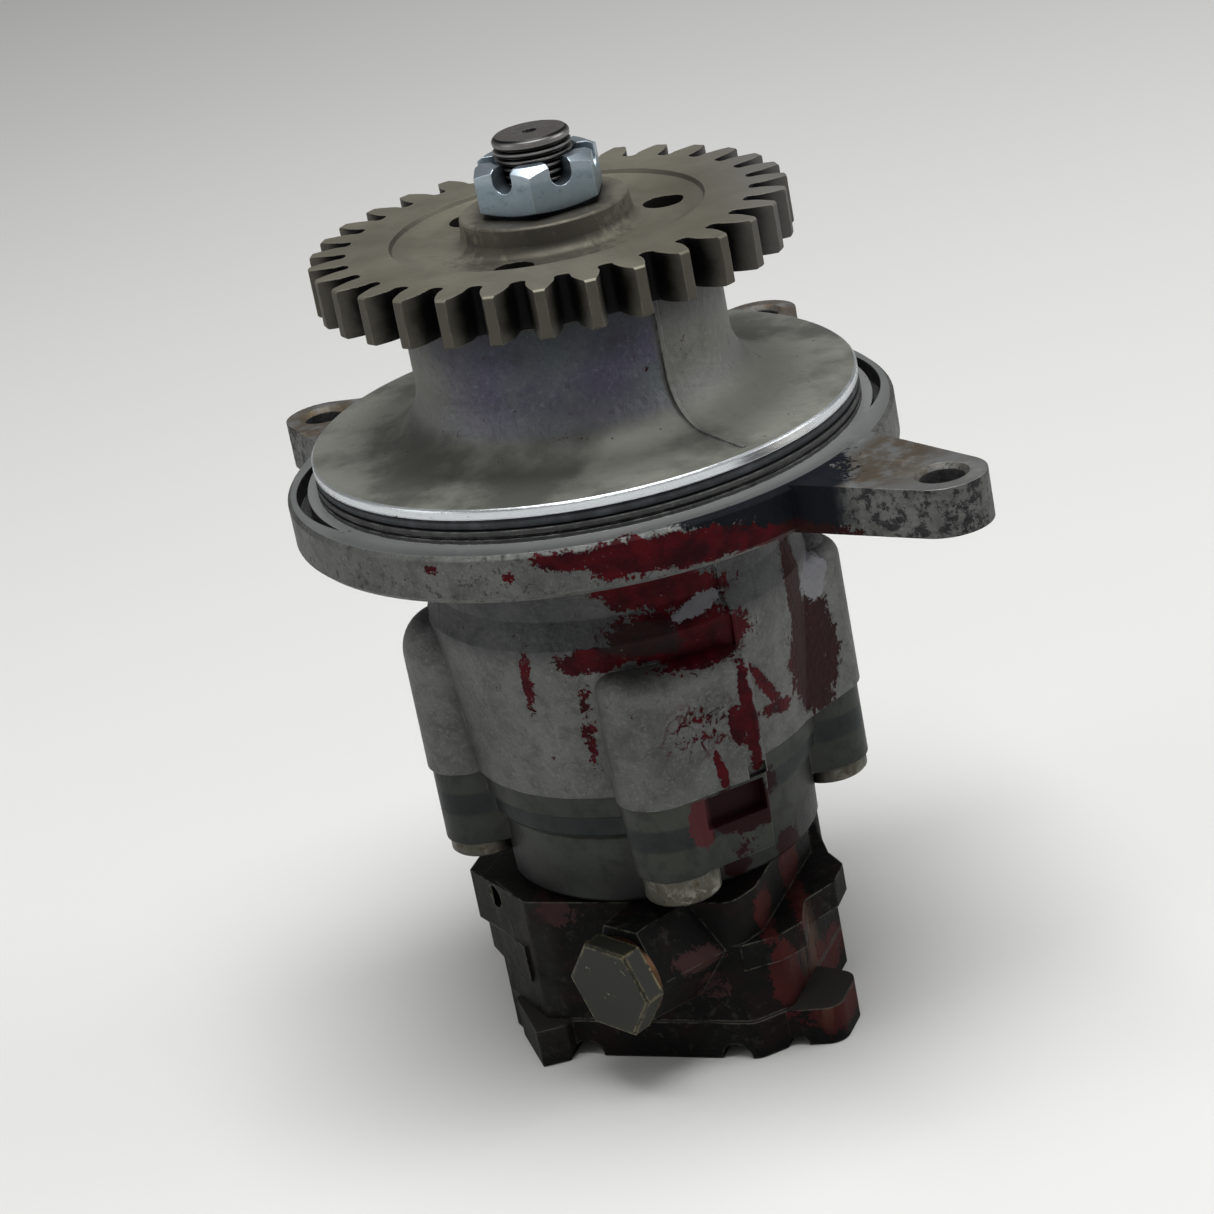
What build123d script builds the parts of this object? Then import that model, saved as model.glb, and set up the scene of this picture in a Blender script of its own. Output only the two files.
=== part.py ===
"""Tandem hydraulic gear pump: an internal gear stage in an aluminium housing and an external gear
stage in cast iron behind it, driven by one timing gear.

Millimetres. +Z runs up the shaft towards the timing gear. The origin is the centre of the pilot
spigot, in the plane of the flange's seat.
"""

from build123d import *
from math import acos, atan2, cos, degrees, pi, radians, sin, sqrt, tan
import os

os.makedirs("parts", exist_ok=True)

# ---------------------------------------------------------------- driving dimensions
RUN = 0.05  # radial clearance of a running fit
GAP = 0.05  # axial clearance beside a gear or a rotor
FIT = 0.04  # radial clearance of a screw in its thread

# heights along the shaft
THREAD_TOP = 66.1
NUT_TOP, NUT_FOOT, NUT_SEAT = 61.5, 51.6, 51.0
GEAR_TOP, GEAR_FOOT = 47.5, 37.5
NECK_TOP = 35.8
SPIGOT_TOP = 7.2
FLANGE_FOOT = -10.0
SHOULDER_TOP, SHOULDER_FOOT = -25.5, -31.0
BODY_FOOT = -65.5
COVER_STEP, COVER_WAIST = -70.2, -75.5
COVER_FOOT = -92.2
LEDGE_TOP, LEDGE_FOOT = -102.5, -108.5
SEAM_TOP, SEAM_FOOT = -120.5, -121.0
PUMP_FOOT = -129.5

# housing radii
NECK_R = 33.0
NECK_FILLET = 11.0
SPIGOT_R = 57.4
SEAT_R = 60.5
PILOT_RING_AT, PILOT_RING_R = (56.15, 3.85), 1.15
FLANGE_R = 64.0
WAIST_R = 38.0
SHOULDER_R, BODY_FOOT_R = 40.5, 37.6
RIDGE_AT = -60.0  # direction of the casting's parting ridge

# flange ears: direction, hole circle radius, tip radius
EAR_HOLE_R = 4.5
EAR_THICK = 10.0
LONG_EAR = (-45.6, 89.5, 9.0)
SHORT_EARS = ((136.9, 74.6, 8.6), (53.0, 74.6, 8.6))

# four bolt lobes
LOBES = 4
LOBE_CIRCLE_R, LOBE_R = 38.0, 9.4
LOBE_DOME = -39.5
FRONT_LOBE_TOP, FRONT_LOBE_ROUND = -36.6, 4.2
RIGHT_WEB_AT, RIGHT_WEB_TOP = -27.0, -32.6
COVER_LOBE_R, COVER_LOBE_FOOT = 8.6, -82.5
BOLT_R, BOLT_LENGTH, BOLT_HEAD_R, BOLT_HEAD_H, BOLT_SOCKET = 5.0, 38.0, 8.0, 6.0, 8.0
LOW_HEAD_H = 3.4

# flat pad beside the front lobe
PAD_NORMAL, PAD_AT, PAD_SHIFT, PAD_WIDTH = -68.0, 44.7, -3.1, 16.3

# timing gear
GEAR_TEETH, GEAR_MODULE, GEAR_PHASE = 31, 3.0, 112.1
GEAR_WEB_R, GEAR_WEB_DEPTH = 32.7, 2.4
GEAR_DEDENDUM, GEAR_ROOT_FILLET = 1.63, 1.2
GEAR_BOSS_R, GEAR_BOSS_TOP = 17.6, 51.0
GEAR_HOLE_R, GEAR_HOLE_CIRCLE, GEAR_HOLE_AT = 4.25, 24.5, 8.0

# castle nut M16 x 1.5, 24 mm across flats
NUT_FLATS, NUT_AT = 24.0, -100.0
NUT_SLOT, NUT_SLOT_DEPTH = 4.8, 4.9
THREAD_R, THREAD_PITCH, THREAD_DEPTH = 8.0, 1.5, 0.85

# drive shaft
TAPER_TOP_R, TAPER_FOOT_R, TAPER_TOP = 9.8, 10.6, 49.0
BEARING_BORE_R, BEARING_OUTER_R = 12.5, 26.0
BEARING_TOP, BEARING_FOOT = 32.0, 17.0
COLLAR_R, COLLAR_FOOT = 14.0, 15.8
PLATE_JOURNAL_R, ROTOR_SEAT_R = 11.0, 9.0
JOURNAL_FOOT = -14.0
SHAFT_FOOT = -84.0
HEXAGON = 12.0

# ball bearing
BALLS, BALL_R, BALL_CIRCLE_R = 9, 3.97, 19.25
SEAL_TOP, SEAL_FOOT, SEAL_R = 15.4, 8.4, 21.0
BUSH_TOP, BUSH_FOOT, BUSH_R = 6.0, -12.0, 15.0

# internal gear stage
CAVITY_R, CAVITY_TOP = 29.0, -24.0
ROTOR_TOP, ROTOR_FOOT = -36.0, -54.0
OUTER_LOBES, ECCENTRIC = 7, 2.2
LOBE_PITCH_R, ROTOR_LOBE_R = 21.0, 6.5
OUTER_ROTOR_R = 22.5
REAR_PLATE_FOOT = -60.0
KIDNEY_R, KIDNEY_WIDTH, KIDNEY_SPAN = 15.4, 5.0, 128.0
ROTOR_KEY_AT, ROTOR_KEY_WIDTH, ROTOR_KEY_HEIGHT, ROTOR_KEY_LENGTH = 9.2, 4.0, 3.6, 14.0
STACK_PIN_R, STACK_PIN_CIRCLE, STACK_PINS_AT = 1.5, 26.6, (90.0, 205.0)

# ports of the front stage: direction, bore radius, boss radius
PORTS = ((133.0, 10.2, 14.0), (47.0, 8.2, 12.0))
PORT_PASSAGE_R = 5.0
PORT_Z, PORT_FACE, PORT_DEPTH = -30.0, 48.5, 13.5

# external gear stage, in its own square frame turned about the shaft
PUMP_TURN = -26.0
SLEEVE_TOP, SLEEVE_FOOT, SLEEVE_R = -84.5, -98.8, 9.5
CHAMBER_TOP, CHAMBER_R = -99.0, 15.05
BLOCK_THICK = 5.0
REAR_TEETH, REAR_MODULE, REAR_PRESSURE = 10, 2.5, 27.0
REAR_CENTRES, JOURNAL_R = 25.0, 8.0
REAR_PORT_Z, REAR_PORT_R, REAR_PORT_FACE, REAR_PORT_DEPTH = -109.7, 7.2, 39.0, 14.0
LONG_SCREWS = ((24.0, -1.0), (-25.5, -1.0), (-4.0, -24.5))
SHORT_SCREWS = ((27.0, -14.5), (-29.5, -17.5), (12.0, 42.0), (-16.0, 39.5))
LONG_R, LONG_LENGTH, LONG_HEAD_R, LONG_HEAD_H, LONG_SOCKET = 4.0, 40.0, 6.5, 6.0, 6.0
SHORT_R, SHORT_LENGTH, SHORT_HEAD_R, SHORT_HEAD_H, SHORT_SOCKET = 3.0, 15.0, 4.9, 4.5, 5.0
REAR_OUTLET_R, REAR_OUTLET_DEPTH = 6.0, 8.5
PORT_MOUTH = 3.0  # clear space kept in front of each port
REAR_PASSAGE_R = 4.0
RIGHT_BEVEL = ((33.0, 9.0), (20.0, 34.0))
LEFT_HOLE_AT, LEFT_HOLE_Z, LEFT_HOLE_R, LEFT_HOLE_DEPTH = (-31.8, -24.2), -95.6, 2.6, 9.0
LEFT_HOLE_FACING = -157.0
CORNER_STAGES = ((-92.4, -104.0, 0.0, 0), (-104.0, -112.0, 1.2, 0), (-112.0, -120.4, 1.2, 26))
END_NOTCHES = ((-13.0, -33.0, 3.6), (21.0, -33.0, 3.4), (33.0, -29.0, 2.2))

# relief valve: a point of its axis on the front face, and its direction
VALVE_BASE, VALVE_AT, VALVE_Z = (9.4, -33.0), -138.0, -103.5
VALVE_FACE, VALVE_BORE_R, VALVE_BORE_DEPTH = 11.9, 5.5, 22.0
PLUG_FLATS, PLUG_HEAD, PLUG_THREAD_R, PLUG_THREAD = 19.0, 5.0, 7.0, 9.0


def polar(radius, angle):
    """Point at a radius and a direction in degrees."""
    return (radius * cos(radians(angle)), radius * sin(radians(angle)))


def level(z):
    """Horizontal plane at a height."""
    return Plane.XY.offset(z)


def pump_level(z):
    """Horizontal plane at a height, turned with the rear pump; its +Y points to the back."""
    return Plane(origin=(0, 0, z), x_dir=(*polar(1, PUMP_TURN), 0), z_dir=(0, 0, 1))


def facing(angle, distance, z=0.0, across=0.0):
    """Upright plane that faces a direction, at a distance from the shaft; its +Y is up."""
    x, y = polar(distance, angle)
    side_x, side_y = polar(across, angle + 90)
    return Plane(
        origin=(x + side_x, y + side_y, z),
        x_dir=(*polar(1, angle + 90), 0),
        z_dir=(*polar(1, angle), 0),
    )


def corner(sketch, x, y):
    """The sketch's corner nearest to a point of its own plane."""
    return sketch.vertices().sort_by_distance((x, y, 0))[0]


def front_lobe_outline(inset=0.0):
    """Plan of the front lobe, drawn out to one side into a flat pad."""
    pad_end = polar(PAD_AT - 1.5, PAD_NORMAL)
    step = PAD_SHIFT + PAD_WIDTH / 2 - 1.0
    end_x, end_y = polar(step, PAD_NORMAL + 90)
    with BuildSketch() as plan:
        with Locations((-0.7, -LOBE_CIRCLE_R + 0.3)):
            Circle(LOBE_R + 0.2 - inset)
        with Locations((pad_end[0] + end_x, pad_end[1] + end_y)):
            Circle(1.5 - inset)
        with Locations((9, -20)):
            Circle(6)
        make_hull()
    return plan.sketch


def finish(piece, name):
    """Label a finished piece and write its STEP file."""
    piece.part.label = name
    export_step(piece.part, f"parts/{name}.step")


def involute(angle):
    return tan(angle) - angle


def gear_outline(teeth, module, pressure, thinning, dedendum, phase=0.0, root_fillet=0.0):
    """Outline of a spur gear with involute flanks and a tooth centred on the direction phase."""
    pitch_r = teeth * module / 2
    alpha = radians(pressure)
    base_r = pitch_r * cos(alpha)
    tip_r, root_r = pitch_r + module, pitch_r - dedendum * module

    def half_angle(radius):
        turned = involute(acos(base_r / radius)) if radius > base_r else 0.0
        return degrees(pi / (2 * teeth) - thinning / pitch_r + involute(alpha) - turned)

    start_r = max(base_r, root_r)
    steps = 6
    radii = [start_r + (tip_r - start_r) * i / steps for i in range(steps + 1)]
    left = [polar(r, half_angle(r)) for r in radii]
    right = [polar(r, -half_angle(r)) for r in radii]
    inner_r = root_r - module / 2
    foot_left = polar(inner_r, half_angle(start_r))
    foot_right = polar(inner_r, -half_angle(start_r))
    with BuildSketch() as tooth:
        with BuildLine():
            Spline(*left)
            ThreePointArc(left[-1], (tip_r, 0), right[-1])
            Spline(*right)
            Polyline(left[0], foot_left, foot_right, right[0])
        make_face()
    with BuildSketch() as outline:
        Circle(root_r)
        with PolarLocations(0, teeth, start_angle=phase):
            add(tooth.sketch)
        if root_fillet:
            roots = [v for v in outline.vertices() if abs(v.center().length - root_r) < 0.01]
            fillet(roots, root_fillet)
    return outline.sketch


def rotor_curve(lobe_r):
    """Points of the inner rotor: the curve that rolls inside the outer rotor's round lobes."""
    points = []
    count = 20 * (OUTER_LOBES - 1)
    for i in range(count):
        t = 2 * pi * i / count
        lean = atan2(
            sin((1 - OUTER_LOBES) * t),
            LOBE_PITCH_R / (ECCENTRIC * OUTER_LOBES) - cos((1 - OUTER_LOBES) * t),
        )
        x = LOBE_PITCH_R * cos(t) - lobe_r * cos(t + lean) - ECCENTRIC * cos(OUTER_LOBES * t)
        y = -LOBE_PITCH_R * sin(t) + lobe_r * sin(t + lean) + ECCENTRIC * sin(OUTER_LOBES * t)
        points.append((-y, x))
    return points


def cap_screw_solid(radius, length, head_r, head_h, socket):
    """Socket head screw standing head down, with its head's foot at the origin."""
    with BuildPart() as screw:
        with BuildSketch():
            Circle(head_r)
        extrude(amount=head_h)
        chamfer(screw.edges().group_by(Axis.Z)[0], 0.5)
        with BuildSketch(level(head_h)):
            Circle(radius)
        extrude(amount=length)
        chamfer(screw.faces().sort_by(Axis.Z)[-1].edges(), 0.6)
        with BuildSketch():
            RegularPolygon(socket / 2, 6, major_radius=False)
        extrude(amount=head_h * 0.55, mode=Mode.SUBTRACT)
    return screw.part


# ---------------------------------------------------------------- front housing
DOMED_LOBES = [polar(LOBE_CIRCLE_R, turn) for turn in (0, 90, 180)]
with BuildPart() as front_lobe:
    with BuildSketch(level(BODY_FOOT)):
        add(front_lobe_outline())
    extrude(amount=FRONT_LOBE_TOP - BODY_FOOT)
    fillet(front_lobe.faces().sort_by(Axis.Z)[-1].edges(), FRONT_LOBE_ROUND)

with BuildPart() as right_web:
    with BuildSketch(level(BODY_FOOT)):
        with Locations((LOBE_CIRCLE_R, 0)):
            Circle(LOBE_R)
        with Locations(polar(BODY_FOOT_R - 1.6, RIGHT_WEB_AT)):
            Circle(2.0)
        make_hull()
    extrude(amount=RIGHT_WEB_TOP - BODY_FOOT)
    fillet(right_web.faces().sort_by(Axis.Z)[-1].edges(), 4.0)

with BuildPart() as front_housing:
    # outside, turned about the shaft
    with BuildSketch(Plane.XZ) as section:
        with BuildLine():
            Polyline(
                (0, NECK_TOP),
                (NECK_R - 1, NECK_TOP),
                (NECK_R, NECK_TOP - 1),
                (NECK_R, SPIGOT_TOP + 1.6),
                (SPIGOT_R - 0.4, SPIGOT_TOP),
                (SPIGOT_R, SPIGOT_TOP - 0.4),
                (SPIGOT_R, 5.1),
                (55.0, 5.1),
                (55.0, 2.6),
                (SPIGOT_R, 2.6),
                (SPIGOT_R, 1.6),
                (SPIGOT_R - 0.8, 1.6),
                (SPIGOT_R - 0.8, 0.9),
                (SPIGOT_R, 0.9),
                (SPIGOT_R, 0),
                (FLANGE_R - 0.8, 0),
                (FLANGE_R, -0.8),
                (FLANGE_R, FLANGE_FOOT + 1.2),
                (FLANGE_R - 1.2, FLANGE_FOOT),
                (WAIST_R, FLANGE_FOOT),
                (WAIST_R, SHOULDER_TOP),
                (SHOULDER_R, SHOULDER_FOOT),
                (BODY_FOOT_R, BODY_FOOT),
                (0, BODY_FOOT),
                (0, NECK_TOP),
            )
        make_face()
        fillet(corner(section, NECK_R, SPIGOT_TOP + 1.6), NECK_FILLET)
        fillet(corner(section, WAIST_R, FLANGE_FOOT), 3.0)
    revolve(axis=Axis.Z)

    # crescent recesses between the seat and the rim
    with BuildSketch(level(0)):
        for start, span in ((156.0, 50.0), (-18.0, 46.0)):
            with BuildLine():
                inner = CenterArc((0, 0), SEAT_R - 0.9, start, span)
                ThreePointArc(inner @ 0, polar(62.0, start + span / 2), inner @ 1)
            make_face()
    extrude(amount=-4.0, mode=Mode.SUBTRACT)

    # long ear
    ear_at, ear_circle, ear_tip = LONG_EAR
    with BuildSketch(level(0)):
        with Locations(polar(ear_circle, ear_at)):
            Circle(ear_tip)
        with Locations(polar(62.0, ear_at + 12.5), polar(61.0, ear_at - 10.0)):
            Circle(2.5)
        make_hull()
    extrude(amount=-EAR_THICK)

    # short ears
    for ear_at, ear_circle, ear_tip in SHORT_EARS:
        with BuildSketch(level(0)):
            with Locations(polar(ear_circle, ear_at)):
                Circle(ear_tip)
            with Locations(polar(58.5, ear_at + 13), polar(58.5, ear_at - 13)):
                Circle(5)
            make_hull()
            Circle(SEAT_R, mode=Mode.SUBTRACT)
        extrude(amount=-EAR_THICK)

    # three bolt lobes with domed tops, the web of the right one, and the front one with its pad
    with BuildSketch(level(BODY_FOOT)):
        with Locations(*DOMED_LOBES):
            Circle(LOBE_R)
    extrude(amount=LOBE_DOME - BODY_FOOT)
    for spot in DOMED_LOBES:
        with Locations((*spot, LOBE_DOME)):
            Sphere(LOBE_R)
    add(front_lobe)
    add(right_web)
    with BuildSketch(facing(PAD_NORMAL, PAD_AT, across=PAD_SHIFT)):
        with Locations((PAD_WIDTH / 2 - 2.2, BODY_FOOT + 1.4)):
            Rectangle(4.4, 3.0)
    extrude(amount=-1.5, mode=Mode.SUBTRACT)

    # bosses of the two ports
    for port_at, _, boss_r in PORTS:
        with BuildSketch(facing(port_at, PORT_FACE, PORT_Z)):
            Circle(boss_r)
        extrude(amount=-18, taper=-4)

    # parting ridge of the casting
    ridge_plane = Plane((0, 0, 0), (*polar(1, RIDGE_AT), 0), (*polar(1, RIDGE_AT - 90), 0))
    with BuildSketch(ridge_plane) as ridge:
        with BuildLine():
            Polyline(
                (28, NECK_TOP - 1),
                (NECK_R + 0.5, NECK_TOP - 1),
                (NECK_R + 0.5, SPIGOT_TOP + 2.1),
                (55.0, SPIGOT_TOP + 0.6),
                (55.0, 4.0),
                (28, 4.0),
                (28, NECK_TOP - 1),
            )
        make_face()
        fillet(corner(ridge, NECK_R + 0.5, SPIGOT_TOP + 2.1), NECK_FILLET - 0.5)
        with BuildLine():
            Polyline(
                (30, -12),
                (WAIST_R + 0.5, -12),
                (WAIST_R + 0.5, SHOULDER_TOP),
                (SHOULDER_R + 0.5, SHOULDER_FOOT),
                (BODY_FOOT_R + 0.6, BODY_FOOT),
                (30, BODY_FOOT),
                (30, -12),
            )
        make_face()
    extrude(amount=0.5, both=True)

    # inside, from the neck's mouth down: bearing, circlip, seal, bush and shaft passage
    steps_down = (
        (BEARING_OUTER_R, NECK_TOP, BEARING_FOOT),
        (SEAL_R, BEARING_FOOT, SEAL_FOOT - 0.4),
        (BUSH_R, SEAL_FOOT - 0.4, JOURNAL_FOOT),
        (13.0, JOURNAL_FOOT, CAVITY_TOP),
        (CAVITY_R, CAVITY_TOP, BODY_FOOT),
        (27.6, BEARING_TOP + 2.1, BEARING_TOP),
    )
    for radius, top, foot in steps_down:
        with BuildSketch(level(top)):
            Circle(radius)
        extrude(amount=foot - top, mode=Mode.SUBTRACT)

    # ports into the cavity
    for port_at, bore_r, _ in PORTS:
        with BuildSketch(facing(port_at, PORT_FACE, PORT_Z)):
            Circle(bore_r)
        extrude(amount=-PORT_DEPTH, mode=Mode.SUBTRACT)
        with BuildSketch(facing(port_at, PORT_FACE, PORT_Z)):
            Circle(PORT_PASSAGE_R)
        extrude(amount=-(PORT_FACE - CAVITY_R + 4), mode=Mode.SUBTRACT)

    # tapped holes in the lobes, and the ears' holes
    with BuildSketch(level(BODY_FOOT)):
        with PolarLocations(LOBE_CIRCLE_R, LOBES):
            Circle(BOLT_R)
    extrude(amount=24, mode=Mode.SUBTRACT)
    for ear_at, ear_circle, _ in (LONG_EAR, *SHORT_EARS):
        with Locations(Plane(origin=(*polar(ear_circle, ear_at), 0))):
            CounterSinkHole(EAR_HOLE_R, EAR_HOLE_R + 1.0, depth=EAR_THICK, counter_sink_angle=90)
finish(front_housing, "front_housing")

with BuildPart() as pilot_o_ring:
    with BuildSketch(Plane.XZ):
        with Locations(PILOT_RING_AT):
            RegularPolygon(PILOT_RING_R, 12)
    revolve(axis=Axis.Z)
finish(pilot_o_ring, "pilot_o_ring")

# ---------------------------------------------------------------- bearing, seal and bush in the neck
RACE_GROOVE_R = BALL_R + 0.03
BEARING_MID = (BEARING_TOP + BEARING_FOOT) / 2
RACE_H = (BEARING_TOP - BEARING_FOOT) / 2


def race(inner_r, outer_r):
    """Bearing race: a chamfered ring with the balls' groove."""
    with BuildPart() as ring:
        with BuildSketch(Plane.XZ):
            with Locations(((inner_r + outer_r) / 2, BEARING_MID)):
                Rectangle(outer_r - inner_r, 2 * RACE_H)
            with Locations((BALL_CIRCLE_R, BEARING_MID)):
                Circle(RACE_GROOVE_R, mode=Mode.SUBTRACT)
        revolve(axis=Axis.Z)
    return ring


bearing_outer_race = race(22.3, BEARING_OUTER_R)
finish(bearing_outer_race, "bearing_outer_race")
bearing_inner_race = race(BEARING_BORE_R, 16.3)
finish(bearing_inner_race, "bearing_inner_race")

with BuildPart() as bearing_balls:
    for turn in range(BALLS):
        with Locations((*polar(BALL_CIRCLE_R, 360 / BALLS * turn), BEARING_MID)):
            Sphere(BALL_R)
finish(bearing_balls, "bearing_balls")

with BuildPart() as bearing_cage:
    with BuildSketch(level(BEARING_MID)):
        Circle(BALL_CIRCLE_R + 1.1)
        Circle(BALL_CIRCLE_R - 1.1, mode=Mode.SUBTRACT)
    extrude(amount=5.2, both=True)
    for turn in range(BALLS):
        with BuildSketch(facing(360 / BALLS * turn, BALL_CIRCLE_R - 3, BEARING_MID)):
            Circle(BALL_R + 0.05)
        extrude(amount=6, mode=Mode.SUBTRACT)
finish(bearing_cage, "bearing_cage")

with BuildPart() as bearing_circlip:
    with BuildSketch(level(BEARING_TOP + 0.05)):
        Circle(27.5)
        Circle(23.6, mode=Mode.SUBTRACT)
        with Locations((0, 25)):
            Rectangle(9, 9, mode=Mode.SUBTRACT)
        with Locations((-7.6, 22.9), (7.6, 22.9)):
            Circle(2.6)
        with Locations((-7.6, 22.7), (7.6, 22.7)):
            Circle(1.1, mode=Mode.SUBTRACT)
    extrude(amount=2.0)
finish(bearing_circlip, "bearing_circlip")

with BuildPart() as shaft_seal:
    with BuildSketch(Plane.XZ):
        with BuildLine():
            Polyline(
                (SEAL_R, SEAL_FOOT),
                (SEAL_R, SEAL_TOP),
                (14.6, SEAL_TOP),
                (12.6, SEAL_TOP - 2.2),
                (12.6, SEAL_TOP - 3.0),
                (14.8, SEAL_TOP - 1.8),
                (19.2, SEAL_TOP - 1.8),
                (19.2, SEAL_FOOT),
                (SEAL_R, SEAL_FOOT),
            )
        make_face()
    revolve(axis=Axis.Z)
finish(shaft_seal, "shaft_seal")

with BuildPart() as neck_bush:
    with BuildSketch(level(BUSH_FOOT)):
        Circle(BUSH_R)
        Circle(BEARING_BORE_R + RUN, mode=Mode.SUBTRACT)
    extrude(amount=BUSH_TOP - BUSH_FOOT)
finish(neck_bush, "neck_bush")

# ---------------------------------------------------------------- drive shaft and what turns with it
KEY_WIDTH, KEY_OUT = 5.0, 12.4

with BuildPart() as drive_shaft:
    with BuildSketch(Plane.XZ):
        with BuildLine():
            Polyline(
                (0, THREAD_TOP),
                (THREAD_R - 0.8, THREAD_TOP),
                (THREAD_R - 0.2, THREAD_TOP - 0.5),
                (THREAD_R, THREAD_TOP - 0.9),
                (THREAD_R, TAPER_TOP + 1.0),
                (THREAD_R - 1, TAPER_TOP + 1.0),
                (THREAD_R - 1, TAPER_TOP),
                (TAPER_TOP_R, TAPER_TOP),
                (TAPER_FOOT_R, GEAR_FOOT),
                (TAPER_FOOT_R, GEAR_FOOT - 0.8),
                (BEARING_BORE_R, GEAR_FOOT - 2.0),
                (BEARING_BORE_R, BEARING_FOOT),
                (COLLAR_R, BEARING_FOOT),
                (COLLAR_R, COLLAR_FOOT),
                (BEARING_BORE_R, COLLAR_FOOT),
                (BEARING_BORE_R, JOURNAL_FOOT + 0.5),
                (PLATE_JOURNAL_R, JOURNAL_FOOT - 1.0),
                (PLATE_JOURNAL_R, ROTOR_TOP + 0.1),
                (ROTOR_SEAT_R, ROTOR_TOP + 0.1),
                (ROTOR_SEAT_R, SHAFT_FOOT),
                (0, SHAFT_FOOT),
                (0, THREAD_TOP),
            )
        make_face()
        # thread grooves
        turns = int((THREAD_TOP - 1.6 - TAPER_TOP - 1.5) / THREAD_PITCH)
        for turn in range(turns):
            z = THREAD_TOP - 2.2 - turn * THREAD_PITCH
            with BuildLine():
                Polyline(
                    (THREAD_R + 0.1, z + 0.62),
                    (THREAD_R - THREAD_DEPTH, z + 0.1),
                    (THREAD_R - THREAD_DEPTH, z - 0.1),
                    (THREAD_R + 0.1, z - 0.62),
                    (THREAD_R + 0.1, z + 0.62),
                )
            make_face(mode=Mode.SUBTRACT)
        # centre drilling of the threaded end
        with BuildLine():
            Polyline(
                (0, THREAD_TOP + 0.1),
                (1.6, THREAD_TOP + 0.1),
                (0.8, THREAD_TOP - 1.4),
                (0.8, THREAD_TOP - 4.2),
                (0, THREAD_TOP - 4.8),
                (0, THREAD_TOP + 0.1),
            )
        make_face(mode=Mode.SUBTRACT)
    revolve(axis=Axis.Z)
    with BuildSketch(level(SHAFT_FOOT)):
        RegularPolygon(HEXAGON / 2, 6, major_radius=False)
    extrude(amount=-7.6)
    # keyways of the timing gear and of the inner rotor
    with BuildSketch(level(GEAR_FOOT + 1)):
        with Locations((0, 10)):
            Rectangle(KEY_WIDTH, 5.2)
    extrude(amount=9, mode=Mode.SUBTRACT)
    with BuildSketch(level(ROTOR_FOOT + 2)):
        with Locations((0, ROTOR_KEY_AT)):
            Rectangle(ROTOR_KEY_WIDTH, ROTOR_KEY_HEIGHT)
    extrude(amount=ROTOR_KEY_LENGTH, mode=Mode.SUBTRACT)
finish(drive_shaft, "drive_shaft")

with BuildPart() as gear_key:
    with BuildSketch(level(GEAR_FOOT + 1)):
        with Locations((0, (7.4 + KEY_OUT) / 2)):
            Rectangle(KEY_WIDTH, KEY_OUT - 7.4)
    extrude(amount=9)
finish(gear_key, "gear_key")

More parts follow.
